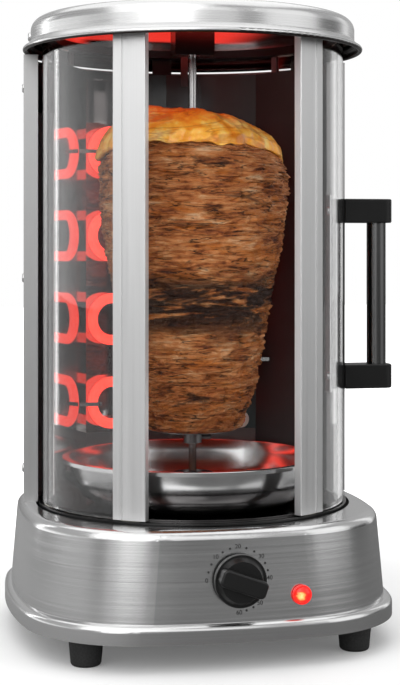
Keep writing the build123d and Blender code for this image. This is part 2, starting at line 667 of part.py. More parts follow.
# ---- Posts, panes and rear ------------------------------------------------------------------------
def front_profile(side, low, high):
    """Hollow front profile. side is -1 where the pane comes in from the left, +1 from the right."""
    r_in = POST_R_OUT - POST_DEPTH
    body = radial_block(r_in, POST_R_OUT, POST_WIDTH, low, high)
    body = fillet(body.edges().filter_by(Axis.Z), 0.8)
    half = POST_WIDTH / 2
    pane = sector(GLASS_R_IN - SLOT_CLEARANCE, GLASS_R_OUT + SLOT_CLEARANCE, low - 1, high + 1,
                  0, 2 * radians_of(half, POST_R_OUT))
    slot_inner = half - POST_GRIP - SLOT_CLEARANCE
    pane = pane & block(slot_inner, half + 5, -POST_R_OUT, -r_in, low - 2, high + 2)
    hollow_width = slot_inner - POST_WALL + half - POST_WALL
    hollow_middle = (slot_inner - POST_WALL - (half - POST_WALL)) / 2
    hollow = radial_block(r_in + POST_WALL, POST_R_OUT - POST_WALL, hollow_width, low - 1, high + 1,
                          shift=hollow_middle)
    groove = block(0.5, 0.5 + GROOVE_WIDTH, -POST_R_OUT - 1, -POST_R_OUT + GROOVE_DEPTH,
                   low - 1, high + 1)
    body = body - pane - hollow - groove
    if side < 0:
        body = mirror(body, about=Plane.YZ)
    return Rot(0, 0, side * POST_ANGLE) * body


def door_heights():
    """Lowest and highest points of the panes, clear of both rings."""
    return TRACK_TOP + DOOR_GAP, UPPER_RING_BOTTOM - DOOR_GAP


def door_profile(side):
    return front_profile(side, *door_heights())


def pane_edge_angle():
    """Angle from the front at which a pane ends inside a front profile."""
    offset = POST_WIDTH / 2 - POST_GRIP + SLOT_CLEARANCE
    return POST_ANGLE + math.degrees(math.asin(offset / GLASS_R_IN))


def mirrored_sector(side, r_in, r_out, low, high, start, end):
    """Sector on the right, or its mirror image on the left."""
    if side < 0:
        start, end = -end, -start
    return sector(r_in, r_out, low, high, start, end)


def door_glass(side):
    low, high = door_heights()
    return mirrored_sector(side, GLASS_R_IN, GLASS_R_OUT, low, high, pane_edge_angle(), DOOR_TAIL_ANGLE)


def door_tail(side):
    """Slim channel on the trailing edge of a pane."""
    low, high = door_heights()
    width = radians_of(TAIL_WIDTH, GLASS_R_OUT)
    start = DOOR_TAIL_ANGLE - width + radians_of(TAIL_WALL, GLASS_R_OUT)
    channel = mirrored_sector(side, GLASS_R_IN - TAIL_WALL, GLASS_R_OUT + TAIL_WALL, low, high,
                              start, start + width)
    pane_end = DOOR_TAIL_ANGLE + radians_of(SLOT_CLEARANCE, GLASS_R_OUT)
    pane = mirrored_sector(side, GLASS_R_IN - SLOT_CLEARANCE, GLASS_R_OUT + SLOT_CLEARANCE,
                           low - 1, high + 1, start - 1, pane_end)
    return channel - pane


def side_post(side):
    """Post that closes the step between the panes' circle and the wider back casing."""
    low = DECK_TOP
    high = CASING_TOP
    r_tube = CASING_R_OUT - CASING_WALL - 0.05
    tube = block(0, SIDE_POST_DEPTH, -r_tube, -SIDE_POST_R_IN, low, high) & disc(r_tube, low, high)
    flange = block(0, SIDE_POST_WALL, -SIDE_POST_R_OUT, -r_tube + 1, low, high)
    hollow = block(SIDE_POST_WALL, SIDE_POST_DEPTH - SIDE_POST_WALL, -r_tube + 2 * SIDE_POST_WALL,
                   -SIDE_POST_R_IN - SIDE_POST_WALL, low - 1, high + 1)
    body = tube + flange - hollow
    if side < 0:
        body = mirror(body, about=Plane.YZ)
    body = Rot(0, 0, side * SIDE_POST_ANGLE) * body
    for height in casing_screw_heights():
        angle = side * casing_screw_angle()
        hole = radial_rod(SCREW_R + HOLE_CLEARANCE, CASING_R_OUT - 5, CASING_R_OUT + 5, height, angle)
        body = body - hole
    return body


def rear_casing():
    start = SIDE_POST_ANGLE + radians_of(SIDE_POST_WALL + 0.2, CASING_R_OUT)
    shell = sector(CASING_R_OUT - CASING_WALL, CASING_R_OUT, DECK_TOP, CASING_TOP, start, 360 - start)
    for side in (-1, 1):
        for height in casing_screw_heights():
            angle = side * casing_screw_angle()
            hole = radial_rod(SCREW_R + HOLE_CLEARANCE, CASING_R_OUT - 5, CASING_R_OUT + 5, height, angle)
            shell = shell - hole
    return shell


def casing_screw_angle():
    return SIDE_POST_ANGLE + radians_of(SIDE_POST_DEPTH / 2, CASING_R_OUT)


def casing_screw_heights():
    return (DECK_TOP + 25, (DECK_TOP + CASING_TOP) / 2, CASING_TOP - 25)


def casing_screws():
    screws = []
    for side in (-1, 1):
        for height in casing_screw_heights():
            one = Pos(0, -CASING_R_OUT, height) * (Rot(90, 0, 0) * screw(4.5))
            screws.append(Rot(0, 0, side * casing_screw_angle()) * one)
    return Compound(children=screws)


def upper_ring():
    body = ring(UPPER_RING_R_IN, UPPER_RING_R_OUT, UPPER_RING_BOTTOM, UPPER_RING_TOP)
    return body - guide_channel(UPPER_RING_BOTTOM - 1, UPPER_RING_BOTTOM + CHANNEL_DEPTH)


def ring_hangers():
    """Straps that stand on the back casing and carry the upper ring."""
    straps = []
    r_out = CASING_R_OUT - CASING_WALL - 0.4
    for angle in (120, 180, 240):
        leg = radial_block(r_out - 1.5, r_out, 16, CASING_TOP - 40, CASING_TOP - 2)
        shelf = radial_block(UPPER_RING_R_OUT - 4, r_out, 16, CASING_TOP - 3.5, CASING_TOP - 2)
        riser = radial_block(UPPER_RING_R_OUT - 4, UPPER_RING_R_OUT - 2.5, 16, CASING_TOP - 3.5,
                             UPPER_RING_BOTTOM)
        straps.append(Rot(0, 0, angle) * (leg + shelf + riser))
    return Compound(children=straps)


def ceiling_pan():
    """Inverted pan that closes the chamber inside the lid."""
    flange = ring(CEILING_R, CEILING_FLANGE_R, UPPER_RING_TOP, UPPER_RING_TOP + SHEET)
    wall = ring(CEILING_R, CEILING_R + SHEET, UPPER_RING_TOP, CEILING_BOTTOM + SHEET)
    top = disc(CEILING_R + SHEET, CEILING_BOTTOM, CEILING_BOTTOM + SHEET)
    return flange + wall + top


def spit_bracket():
    """Black box bracket that hangs from the ceiling and holds the top bush."""
    half = BRACKET_WIDTH / 2
    deep = BRACKET_DEPTH / 2
    body = block(-half, half, -deep, deep, BRACKET_BOTTOM, CEILING_BOTTOM)
    inner = block(-half + BRACKET_WALL, half - BRACKET_WALL, -deep + BRACKET_WALL, deep - BRACKET_WALL,
                  BRACKET_BOTTOM + BRACKET_WALL, CEILING_BOTTOM + 1)
    body = body - inner
    bush = disc(SPIT_R + RUNNING_CLEARANCE + BUSH_WALL, BRACKET_BOTTOM - 1, BRACKET_BOTTOM + 3)
    return body - bush


def spit_bush():
    bore = SPIT_R + RUNNING_CLEARANCE
    stem = ring(bore, bore + BUSH_WALL - 0.02, BRACKET_BOTTOM, BRACKET_BOTTOM + 7)
    return stem + ring(bore, bore + BUSH_WALL + 1, BRACKET_BOTTOM + BRACKET_WALL,
                       BRACKET_BOTTOM + BRACKET_WALL + 1.5)


# ---- Lid ------------------------------------------------------------------------------------------
def lid_block(inset):
    top = LID_TOP - inset
    side = LID_R - inset
    body = disc(side, BRIM_BEAD_Z - BEAD_R, top)
    return fillet(body.edges().group_by(Axis.Z)[-1], LID_ROUND - inset)


def lid_cover():
    """Pressed lid with a flared brim and a rolled edge."""
    skin = lid_block(0) - (lid_block(SHEET) - disc(LID_R, 0, BRIM_BEAD_Z - BEAD_R))
    below = disc(LID_R + 1, BRIM_BEAD_Z - 2 * BEAD_R - 1, LID_FLARE_TOP - 0.5)
    skin = skin - below
    bead_at = BRIM_R - BEAD_R
    flare = revolved([(LID_R - SHEET, LID_FLARE_TOP), (LID_R, LID_FLARE_TOP),
                      (bead_at, BRIM_BEAD_Z + BEAD_R * 0.9), (bead_at, BRIM_BEAD_Z + BEAD_R * 0.9 - SHEET),
                      (LID_R - SHEET, LID_FLARE_TOP - 1.6)])
    bead = Pos(0, 0, BRIM_BEAD_Z) * Torus(bead_at, BEAD_R)
    lid = skin + flare + bead
    for angle in lid_screw_angles():
        hole = radial_rod(SCREW_R + HOLE_CLEARANCE, LID_R - 5, LID_R + 5, lid_screw_height(), angle)
        lid = lid - hole
    return lid


def lid_screw_angles():
    return (100, 180, 260)


def lid_screw_height():
    return (UPPER_RING_BOTTOM + UPPER_RING_TOP) / 2 + 0.6


def lid_screws():
    screws = []
    for angle in lid_screw_angles():
        one = Pos(0, -LID_R, lid_screw_height()) * (Rot(90, 0, 0) * screw(SHEET + 0.1))
        screws.append(Rot(0, 0, angle) * one)
    return Compound(children=screws)


# ---- Door furniture -------------------------------------------------------------------------------
def glide(angle, low_side):
    """Shoe under or over the door that runs in a guide channel."""
    r_in = CHANNEL_R - CHANNEL_WIDTH / 2 + GLIDE_CLEARANCE
    r_out = CHANNEL_R + CHANNEL_WIDTH / 2 - GLIDE_CLEARANCE
    half = radians_of(GLIDE_LENGTH / 2, CHANNEL_R)
    plate_in = GLASS_R_IN
    plate_out = GLASS_R_OUT
    if low_side:
        tongue = (TRACK_TOP - GLIDE_TONGUE_DEPTH, TRACK_TOP + DOOR_GAP)
        plate = (TRACK_TOP + GLIDE_CLEARANCE, TRACK_TOP + DOOR_GAP)
    else:
        tongue = (UPPER_RING_BOTTOM - DOOR_GAP, UPPER_RING_BOTTOM + GLIDE_TONGUE_DEPTH)
        plate = (UPPER_RING_BOTTOM - DOOR_GAP, UPPER_RING_BOTTOM - GLIDE_CLEARANCE)
    shoe = sector(r_in, r_out, *tongue, angle - half, angle + half)
    return shoe + sector(plate_in, plate_out, *plate, angle - half, angle + half)


def door_glides(side):
    """Three shoes under a door and three over it."""
    angles = (POST_ANGLE, (POST_ANGLE + DOOR_TAIL_ANGLE) / 2, DOOR_TAIL_ANGLE - 6)
    shoes = [glide(side * angle, low_side) for angle in angles for low_side in (True, False)]
    return Compound(children=shoes)


def handle_seat():
    """Radius where the handle's flat strip lies against the round glass."""
    return GLASS_R_OUT + 0.15


def handle_strip():
    body = radial_block(GLASS_R_OUT - 2, GLASS_R_OUT + HANDLE_STRIP, HANDLE_STRIP_WIDTH,
                        HANDLE_LOW, HANDLE_HIGH)
    body = body - disc(handle_seat(), HANDLE_LOW - 1, HANDLE_HIGH + 1)
    for height in handle_screw_heights():
        body = body - radial_rod(HANDLE_SCREW_R + HOLE_CLEARANCE, GLASS_R_IN, HANDLE_R_OUT, height, 0)
    return Rot(0, 0, HANDLE_ANGLE) * body


def handle_screw_heights():
    half = HANDLE_BLOCK_HEIGHT / 2
    return (HANDLE_LOW + half, HANDLE_HIGH - half)


def handle_block(low, high):
    r_in = GLASS_R_OUT + HANDLE_STRIP
    body = radial_block(r_in, HANDLE_R_OUT, HANDLE_BLOCK_WIDTH, low, high)
    outer = body.edges().filter_by(Axis.Z).group_by(Axis.Y)[0]
    body = fillet(outer, 7)
    rims = body.faces().sort_by(Axis.Z)
    body = chamfer(rims[-1].edges() + rims[0].edges(), 0.8)
    middle = (low + high) / 2
    body = body - radial_rod(HANDLE_SCREW_R, r_in - 1, r_in + 9, middle, 0)
    bar = Pos(0, -HANDLE_BAR_AT, 0) * disc(HANDLE_BAR_R + 0.05, bar_low(), bar_high())
    return Rot(0, 0, HANDLE_ANGLE) * (body - bar)


def bar_low():
    return HANDLE_LOW + HANDLE_BLOCK_HEIGHT - 6


def bar_high():
    return HANDLE_HIGH - HANDLE_BLOCK_HEIGHT + 6


def handle_bar():
    bar = Pos(0, -HANDLE_BAR_AT, 0) * disc(HANDLE_BAR_R, bar_low(), bar_high())
    return Rot(0, 0, HANDLE_ANGLE) * bar


def handle_plate():
    """Steel strip inside the glass that the handle's screws pull against."""
    r_out = math.sqrt(GLASS_R_IN ** 2 - (HANDLE_PLATE_WIDTH / 2) ** 2) - HANDLE_PLATE_GAP * 0.3
    low = HANDLE_LOW - 3
    high = HANDLE_HIGH + 3
    plate = radial_block(r_out - HANDLE_PLATE, r_out, HANDLE_PLATE_WIDTH, low, high)
    for height in handle_screw_heights():
        plate = plate - radial_rod(HANDLE_SCREW_R + HOLE_CLEARANCE, GLASS_R_IN - 9, GLASS_R_OUT, height, 0)
    return Rot(0, 0, HANDLE_ANGLE) * plate


def handle_screws():
    """Screws through the glass, with their heads on the inside."""
    r_plate = math.sqrt(GLASS_R_IN ** 2 - (HANDLE_PLATE_WIDTH / 2) ** 2) - HANDLE_PLATE_GAP * 0.3
    r_head = r_plate - HANDLE_PLATE
    screws = []
    for height in handle_screw_heights():
        shank = radial_rod(HANDLE_SCREW_R - 0.05, r_head, GLASS_R_OUT + HANDLE_STRIP + 8, height, 0)
        head = radial_rod(SCREW_HEAD_R, r_head - 1.2, r_head, height, 0)
        screws.append(Rot(0, 0, HANDLE_ANGLE) * (shank + head))
    return Compound(children=screws)


def right_door_glass():
    """Right pane with the two holes for the handle's screws."""
    holes = [radial_rod(HANDLE_SCREW_R + HOLE_CLEARANCE, GLASS_R_IN - 5, GLASS_R_OUT + 5, height,
                        HANDLE_ANGLE) for height in handle_screw_heights()]
    return door_glass(1) - holes


# ---- Heater and reflector -----------------------------------------------------------------------
def panel_lean():
    """Angle by which each middle panel of the reflector leans back from X, in radians."""
    return math.atan2(REFLECTOR_MIDDLE_Y - REFLECTOR_Y, REFLECTOR_HALF)


def on_panel(along, out, z):
    """Point along a panel from its middle fold and out in front of its face.

    along is positive on the right panel and negative on the left one.
    """
    lean = panel_lean()
    side = 1 if along >= 0 else -1
    run = abs(along)
    x = run * math.cos(lean) - out * math.sin(lean)
    y = REFLECTOR_MIDDLE_Y - run * math.sin(lean) - out * math.cos(lean)
    return Vector(side * x, y, z)


def heater_top():
    return HEATER_BOTTOM + (HEATER_RUNS - 1) * HEATER_PITCH


def straight_reach():
    """How far from the middle fold the straight part of each run ends."""
    return HEATER_REACH - HEATER_PITCH / 2


def heater_run(z, side):
    """One run from side to the other side, with its bend in the middle."""
    lean = panel_lean()
    out = HEATER_STANDOFF
    crown_y = REFLECTOR_MIDDLE_Y - out / math.cos(lean)
    back = HEATER_FOLD_R * math.tan(lean)
    sag = HEATER_FOLD_R * (1 / math.cos(lean) - 1)
    joint_x = back * math.cos(lean)
    joint_y = crown_y - back * math.sin(lean)
    start = on_panel(side * straight_reach(), out, z)
    end = on_panel(-side * straight_reach(), out, z)
    first = Vector(side * joint_x, joint_y, z)
    last = Vector(-side * joint_x, joint_y, z)
    middle = Vector(0, crown_y - sag, z)
    return [Line(start, first), ThreePointArc(first, middle, last), Line(last, end)]


def heater_lead(z):
    """Bent-back end on the right, from the end of a run to behind the reflector."""
    reach = straight_reach()
    bend = HEATER_LEAD_BEND
    knee = bend * math.sin(math.radians(45))
    out = HEATER_STANDOFF
    start = on_panel(reach, out, z)
    middle = on_panel(reach + knee, out - (bend - knee), z)
    end = on_panel(reach + bend, out - bend, z)
    tip = on_panel(reach + bend, out - HEATER_LEAD, z)
    return [ThreePointArc(start, middle, end), Line(end, tip)]


def heater_path():
    """Centre line: level runs joined by half-round turns, with both ends bent back."""
    turn = HEATER_PITCH / 2
    reach = straight_reach()
    pieces = heater_lead(heater_top())
    side = 1
    for index in range(HEATER_RUNS):
        z = heater_top() - index * HEATER_PITCH
        pieces += heater_run(z, side)
        side = -side
        if index < HEATER_RUNS - 1:
            start = on_panel(side * reach, HEATER_STANDOFF, z)
            middle = on_panel(side * (reach + turn), HEATER_STANDOFF, z - turn)
            end = on_panel(side * reach, HEATER_STANDOFF, z - 2 * turn)
            pieces.append(ThreePointArc(start, middle, end))
    pieces += heater_lead(HEATER_BOTTOM)
    return Wire([piece.edge() for piece in pieces])


def heater_element():
    path = heater_path()
    start = on_panel(straight_reach() + HEATER_LEAD_BEND, HEATER_STANDOFF - HEATER_LEAD, heater_top())
    nearer = on_panel(straight_reach() + HEATER_LEAD_BEND, 0, heater_top())
    section = Plane(origin=start, z_dir=nearer - start) * Circle(HEATER_TUBE_R)
    return sweep(section, path=path)


def lead_rod(radius, back, front, z):
    """Rod along one of the element's bent-back ends, from behind the face to in front of it."""
    along = straight_reach() + HEATER_LEAD_BEND
    start = on_panel(along, -back, z)
    end = on_panel(along, front, z)
    rod = Cylinder(radius, back + front, align=(Align.CENTER, Align.CENTER, Align.MIN))
    return Plane(origin=start, z_dir=end - start) * rod


def heater_insulators():
    """Ceramic bushes that carry the element's ends through the reflector."""
    bushes = []
    for z in (HEATER_BOTTOM, heater_top()):
        neck = lead_rod(INSULATOR_R - 1.5, INSULATOR_LENGTH / 2, INSULATOR_LENGTH / 2, z)
        flange = lead_rod(INSULATOR_R, 0, INSULATOR_LENGTH / 2, z)
        bore = lead_rod(HEATER_TUBE_R + 0.1, INSULATOR_LENGTH, INSULATOR_LENGTH, z)
        bushes.append(neck + flange - bore)
    return Compound(children=bushes)


def heater_clips():
    """Hooks on the reflector's wings that hold two of the left turns and two of the right ones."""
    half = HEATER_PITCH / 2
    clips = [clip(-1, heater_top() - half), clip(-1, HEATER_BOTTOM + half)]
    clips += [clip(1, heater_top() - 3 * half), clip(1, HEATER_BOTTOM + 3 * half)]
    return Compound(children=clips)


def clip(side, z):
    """Flat bar in front of a turn, hooked round its inner side, with its end on the wing."""
    turn = on_panel(HEATER_REACH, HEATER_STANDOFF, z)
    front = turn.Y - HEATER_TUBE_R - 1.3
    inner = turn.X - HEATER_TUBE_R - 2.5
    slope = (REFLECTOR_WING_X - REFLECTOR_HALF) / (REFLECTOR_Y - REFLECTOR_WING_Y)
    wing_x = REFLECTOR_HALF + (REFLECTOR_Y - front) * slope - 0.7
    bar = block(inner, wing_x, front - CLIP_SHEET, front, z - CLIP_HEIGHT / 2, z + CLIP_HEIGHT / 2)
    hook = block(inner, inner + CLIP_SHEET, front - CLIP_SHEET, turn.Y + 2,
                 z - CLIP_HEIGHT / 2, z + CLIP_HEIGHT / 2)
    body = bar + hook
    return mirror(body, about=Plane.YZ) if side < 0 else body


def reflector_face(offset):
    """Corners of the folded sheet seen from above, moved back by offset."""
    corners = [Vector(-REFLECTOR_WING_X, REFLECTOR_WING_Y), Vector(-REFLECTOR_HALF, REFLECTOR_Y),
               Vector(0, REFLECTOR_MIDDLE_Y), Vector(REFLECTOR_HALF, REFLECTOR_Y),
               Vector(REFLECTOR_WING_X, REFLECTOR_WING_Y)]
    normals = []
    for first, second in zip(corners, corners[1:]):
        run = (second - first).normalized()
        normals.append(Vector(-run.Y, run.X))
    moved = [corners[0] + normals[0] * offset]
    for index in range(1, len(corners) - 1):
        middle = (normals[index - 1] + normals[index]).normalized()
        moved.append(corners[index] + middle * (offset / middle.dot(normals[index])))
    moved.append(corners[-1] + normals[-1] * offset)
    return [(point.X, point.Y) for point in moved]


def reflector():
    """Polished sheet folded into two middle panels and two wings that stand on the cavity floor."""
    outline = reflector_face(0) + list(reversed(reflector_face(REFLECTOR_SHEET)))
    low = LEDGE_Z + SHEET
    sheet = Pos(0, 0, low) * extrude(make_face(Polyline(outline, close=True)), REFLECTOR_TOP - low)
    sheet = sheet - block(-REFLECTOR_HALF, REFLECTOR_HALF, REFLECTOR_Y - 1, REFLECTOR_MIDDLE_Y + 5,
                          low - 1, REFLECTOR_BOTTOM)
    for z in (HEATER_BOTTOM, heater_top()):
        sheet = sheet - lead_rod(INSULATOR_R - 1.4, 5, 5, z)
    return sheet


def reflector_hanger():
    """Strap from the ceiling that hooks over the top of the reflector."""
    low = REFLECTOR_TOP - REFLECTOR_HANGER_DROP
    x0 = REFLECTOR_HANGER_X - 3
    x1 = REFLECTOR_HANGER_X + 3
    face = REFLECTOR_MIDDLE_Y - x1 * math.tan(panel_lean())
    strap = block(x0, x1, face - 1.2, face, low, CEILING_BOTTOM)
    foot = block(x0, x1, face - 12, face, CEILING_BOTTOM - 1.2, CEILING_BOTTOM)
    rivets = [front_rod(1.6, face - 2.2, face - 1.1, REFLECTOR_HANGER_X, low + step)
              for step in (2.5, 7.0)]
    return strap + foot + rivets[0] + rivets[1]


# ---- Drip tray ------------------------------------------------------------------------------------
def tray_profile(inset):
    """Outline of the bowl, moved inwards and upwards by inset."""
    foot = LEDGE_Z + SHEET + inset
    return [(0, foot), (TRAY_FOOT_R - inset * 0.4, foot), (TRAY_KNEE_R - inset * 0.8, foot + TRAY_KNEE_HEIGHT),
            (TRAY_R - TRAY_LIP - inset, TRAY_TOP - 6), (TRAY_R - TRAY_LIP - inset, TRAY_TOP + 1),
            (0, TRAY_TOP + 1)]


def drip_tray():
    """Pressed bowl with a turned-over rim and a collar round the drive socket."""
    bowl = revolved(tray_profile(0)) - revolved(tray_profile(TRAY_SHEET))
    bowl = bowl - disc(TRAY_R, TRAY_TOP - TRAY_SHEET, TRAY_TOP + 3)
    lip = ring(TRAY_R - TRAY_LIP - TRAY_SHEET, TRAY_R, TRAY_TOP - TRAY_SHEET, TRAY_TOP)
    edge = ring(TRAY_R - TRAY_SHEET, TRAY_R, TRAY_TOP - 3, TRAY_TOP)
    tray = bowl + lip + edge
    floor = LEDGE_Z + SHEET
    tray = tray - disc(TRAY_HOLE_R, floor - 1, TRAY_TOP)
    return tray + ring(TRAY_HOLE_R, TRAY_HOLE_R + TRAY_SHEET, floor, TRAY_COLLAR_TOP)


PARTS = {
    "base_housing": base_housing,
    "base_rim": base_rim,
    "bottom_plate": bottom_plate,
    "base_screws": base_screws,
    "feet": feet,
    "foot_screws": foot_screws,
    "foot_nuts": foot_nuts,
    "cord_gland": cord_gland,
    "timer_body": timer_body,
    "timer_nut": timer_nut,
    "timer_shaft": timer_shaft,
    "timer_knob": timer_knob,
    "lamp_lens": lamp_lens,
    "lamp_body": lamp_body,
    "terminal_block": terminal_block,
    "thermal_cutout": thermal_cutout,
    "chassis_dish": chassis_dish,
    "track_ring": track_ring,
    "cavity_floor": cavity_floor,
    "floor_bush": floor_bush,
    "gearbox": gearbox,
    "motor": motor,
    "motor_screws": motor_screws,
    "drive_shaft": drive_shaft,
    "drive_socket": drive_socket,
    "spit_rod": spit_rod,
    "spit_disc": spit_disc,
    "meat_stack": meat_stack,
    "fat_cap": fat_cap,
    "left_door_profile": lambda: door_profile(-1),
    "right_door_profile": lambda: door_profile(1),
    "left_door_glass": lambda: door_glass(-1),
    "right_door_glass": right_door_glass,
    "left_door_tail": lambda: door_tail(-1),
    "right_door_tail": lambda: door_tail(1),
    "left_door_glides": lambda: door_glides(-1),
    "right_door_glides": lambda: door_glides(1),
    "side_post_left": lambda: side_post(-1),
    "side_post_right": lambda: side_post(1),
    "rear_casing": rear_casing,
    "casing_screws": casing_screws,
    "upper_ring": upper_ring,
    "ring_hangers": ring_hangers,
    "ceiling_pan": ceiling_pan,
    "spit_bracket": spit_bracket,
    "spit_bush": spit_bush,
    "lid_cover": lid_cover,
    "lid_screws": lid_screws,
    "handle_strip": handle_strip,
    "handle_block_low": lambda: handle_block(HANDLE_LOW, HANDLE_LOW + HANDLE_BLOCK_HEIGHT),
    "handle_block_high": lambda: handle_block(HANDLE_HIGH - HANDLE_BLOCK_HEIGHT, HANDLE_HIGH),
    "handle_bar": handle_bar,
    "handle_plate": handle_plate,
    "handle_screws": handle_screws,
    "heater_element": heater_element,
    "heater_insulators": heater_insulators,
    "heater_clips": heater_clips,
    "reflector": reflector,
    "reflector_hanger": reflector_hanger,
    "drip_tray": drip_tray,
}

os.makedirs("parts", exist_ok=True)
for part_name, make in PARTS.items():
    save(part_name, make())
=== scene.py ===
"""Looks of a vertical skewer grill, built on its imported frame."""
import math

import bmesh
import bpy
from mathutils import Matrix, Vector, noise


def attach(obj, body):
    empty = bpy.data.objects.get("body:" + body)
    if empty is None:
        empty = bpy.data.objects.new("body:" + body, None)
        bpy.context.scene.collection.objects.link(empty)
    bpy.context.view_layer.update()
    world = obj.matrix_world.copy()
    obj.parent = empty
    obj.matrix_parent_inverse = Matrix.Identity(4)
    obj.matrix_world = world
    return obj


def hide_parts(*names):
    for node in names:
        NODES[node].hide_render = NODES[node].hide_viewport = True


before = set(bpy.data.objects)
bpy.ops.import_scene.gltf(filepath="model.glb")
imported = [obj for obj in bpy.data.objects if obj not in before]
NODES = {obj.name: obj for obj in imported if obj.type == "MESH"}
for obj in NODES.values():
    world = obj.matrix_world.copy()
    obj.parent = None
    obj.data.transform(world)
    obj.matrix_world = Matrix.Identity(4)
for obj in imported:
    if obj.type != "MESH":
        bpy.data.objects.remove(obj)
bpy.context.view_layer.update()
MM = 0.001


# ---- Node material helpers -----------------------------------------------------------------------
def srgb(r, g, b):
    """Linear colour of an sRGB triple from 0 to 255."""
    def linear(c):
        c /= 255.0
        return c / 12.92 if c <= 0.04045 else ((c + 0.055) / 1.055) ** 2.4
    return (linear(r), linear(g), linear(b), 1.0)


class Mat:
    """A Principled material with short ways to add nodes to it."""

    def __init__(self, name, **sockets):
        self.material = bpy.data.materials.new(name)
        self.material.use_nodes = True
        self.nodes = self.material.node_tree.nodes
        self.links = self.material.node_tree.links
        self.bsdf = self.nodes["Principled BSDF"]
        for key, value in sockets.items():
            self.bsdf.inputs[key.replace("_", " ")].default_value = value

    def node(self, kind, **values):
        made = self.nodes.new(kind)
        for key, value in values.items():
            if key in made.inputs:
                made.inputs[key].default_value = value
            else:
                setattr(made, key, value)
        return made

    def link(self, start, end):
        self.links.new(start, end)
        return end

    def coordinates(self, scale=(1, 1, 1), shift=(0, 0, 0)):
        place = self.node("ShaderNodeTexCoord")
        mapping = self.node("ShaderNodeMapping")
        mapping.inputs["Scale"].default_value = scale
        mapping.inputs["Location"].default_value = shift
        self.link(place.outputs["Object"], mapping.inputs["Vector"])
        return mapping.outputs["Vector"]

    def axis(self, which):
        """Object coordinate X, Y or Z in metres."""
        place = self.node("ShaderNodeTexCoord")
        split = self.node("ShaderNodeSeparateXYZ")
        self.link(place.outputs["Object"], split.inputs[0])
        return split.outputs[which]

    def noise(self, scale, detail=4.0, rough=0.55, distort=0.0, stretch=(1, 1, 1), shift=(0, 0, 0)):
        made = self.node("ShaderNodeTexNoise", Scale=scale, Detail=detail, Roughness=rough, Distortion=distort)
        self.link(self.coordinates(stretch, shift), made.inputs["Vector"])
        return made.outputs["Fac"]

    def ramp(self, source, stops):
        made = self.node("ShaderNodeValToRGB")
        elements = made.color_ramp.elements
        while len(elements) < len(stops):
            elements.new(0.5)
        for element, (position, colour) in zip(elements, stops):
            element.position = position
            element.color = colour if len(colour) == 4 else (*colour, 1.0)
        self.link(source, made.inputs["Fac"])
        return made.outputs["Color"]

    def remap(self, source, low, high, to_low, to_high, smooth=True):
        made = self.node("ShaderNodeMapRange")
        made.interpolation_type = "SMOOTHSTEP" if smooth else "LINEAR"
        for key, value in zip(("From Min", "From Max", "To Min", "To Max"), (low, high, to_low, to_high)):
            made.inputs[key].default_value = value
        self.link(source, made.inputs["Value"])
        return made.outputs["Result"]

    def mix(self, factor, a, b):
        made = self.node("ShaderNodeMix", data_type="RGBA")
        for socket, value in ((made.inputs[0], factor), (made.inputs[6], a), (made.inputs[7], b)):
            if isinstance(value, bpy.types.NodeSocket):
                self.link(value, socket)
            else:
                socket.default_value = value
        return made.outputs[2]

    def math(self, operation, a, b=None):
        made = self.node("ShaderNodeMath", operation=operation)
        for index, value in enumerate((a, b)):
            if isinstance(value, bpy.types.NodeSocket):
                self.link(value, made.inputs[index])
            elif value is not None:
                made.inputs[index].default_value = value
        return made.outputs[0]

    def inward(self):
        """1 where a face looks down or towards the object's upright axis, 0 elsewhere."""
        place = self.node("ShaderNodeTexCoord")
        flat = self.node("ShaderNodeVectorMath", operation="MULTIPLY")
        flat.inputs[1].default_value = (1, 1, 0)
        self.link(place.outputs["Object"], flat.inputs[0])
        product = self.node("ShaderNodeVectorMath", operation="DOT_PRODUCT")
        self.link(flat.outputs["Vector"], product.inputs[0])
        self.link(place.outputs["Normal"], product.inputs[1])
        facing = self.node("ShaderNodeSeparateXYZ")
        self.link(place.outputs["Normal"], facing.inputs[0])
        down = self.remap(facing.outputs[2], -0.5, -0.2, 1.0, 0.0)
        return self.math("MAXIMUM", self.remap(product.outputs["Value"], -0.03, -0.005, 1.0, 0.0), down)

    def near_middle(self, source, width, strength):
        """Thin lines of the given strength where a noise passes its middle value."""
        off = self.math("ABSOLUTE", self.math("SUBTRACT", source, 0.5))
        return self.remap(off, 0.0, width, strength, 0.0)

    def distance(self, point=None):
        """Distance in metres from a point of the object, or from its origin."""
        place = self.node("ShaderNodeTexCoord")
        made = self.node("ShaderNodeVectorMath", operation="DISTANCE" if point else "LENGTH")
        if point:
            made.inputs[1].default_value = point
        self.link(place.outputs["Object"], made.inputs[0])
        return made.outputs["Value"]

    def window(self, source, rise, fall, level=1.0):
        """level between two places, with a soft rise and a soft fall."""
        return self.math("MULTIPLY", self.remap(source, *rise, 0.0, level), self.remap(source, *fall, 1.0, 0.0))

    def to(self, socket, source):
        self.link(source, self.bsdf.inputs[socket])

    def bump(self, height, strength, distance):
        made = self.node("ShaderNodeBump", Strength=strength, Distance=distance)
        self.link(height, made.inputs["Height"])
        self.link(made.outputs["Normal"], self.bsdf.inputs["Normal"])


def grey(level):
    """Grey of a linear level."""
    return (level, level, level, 1.0)


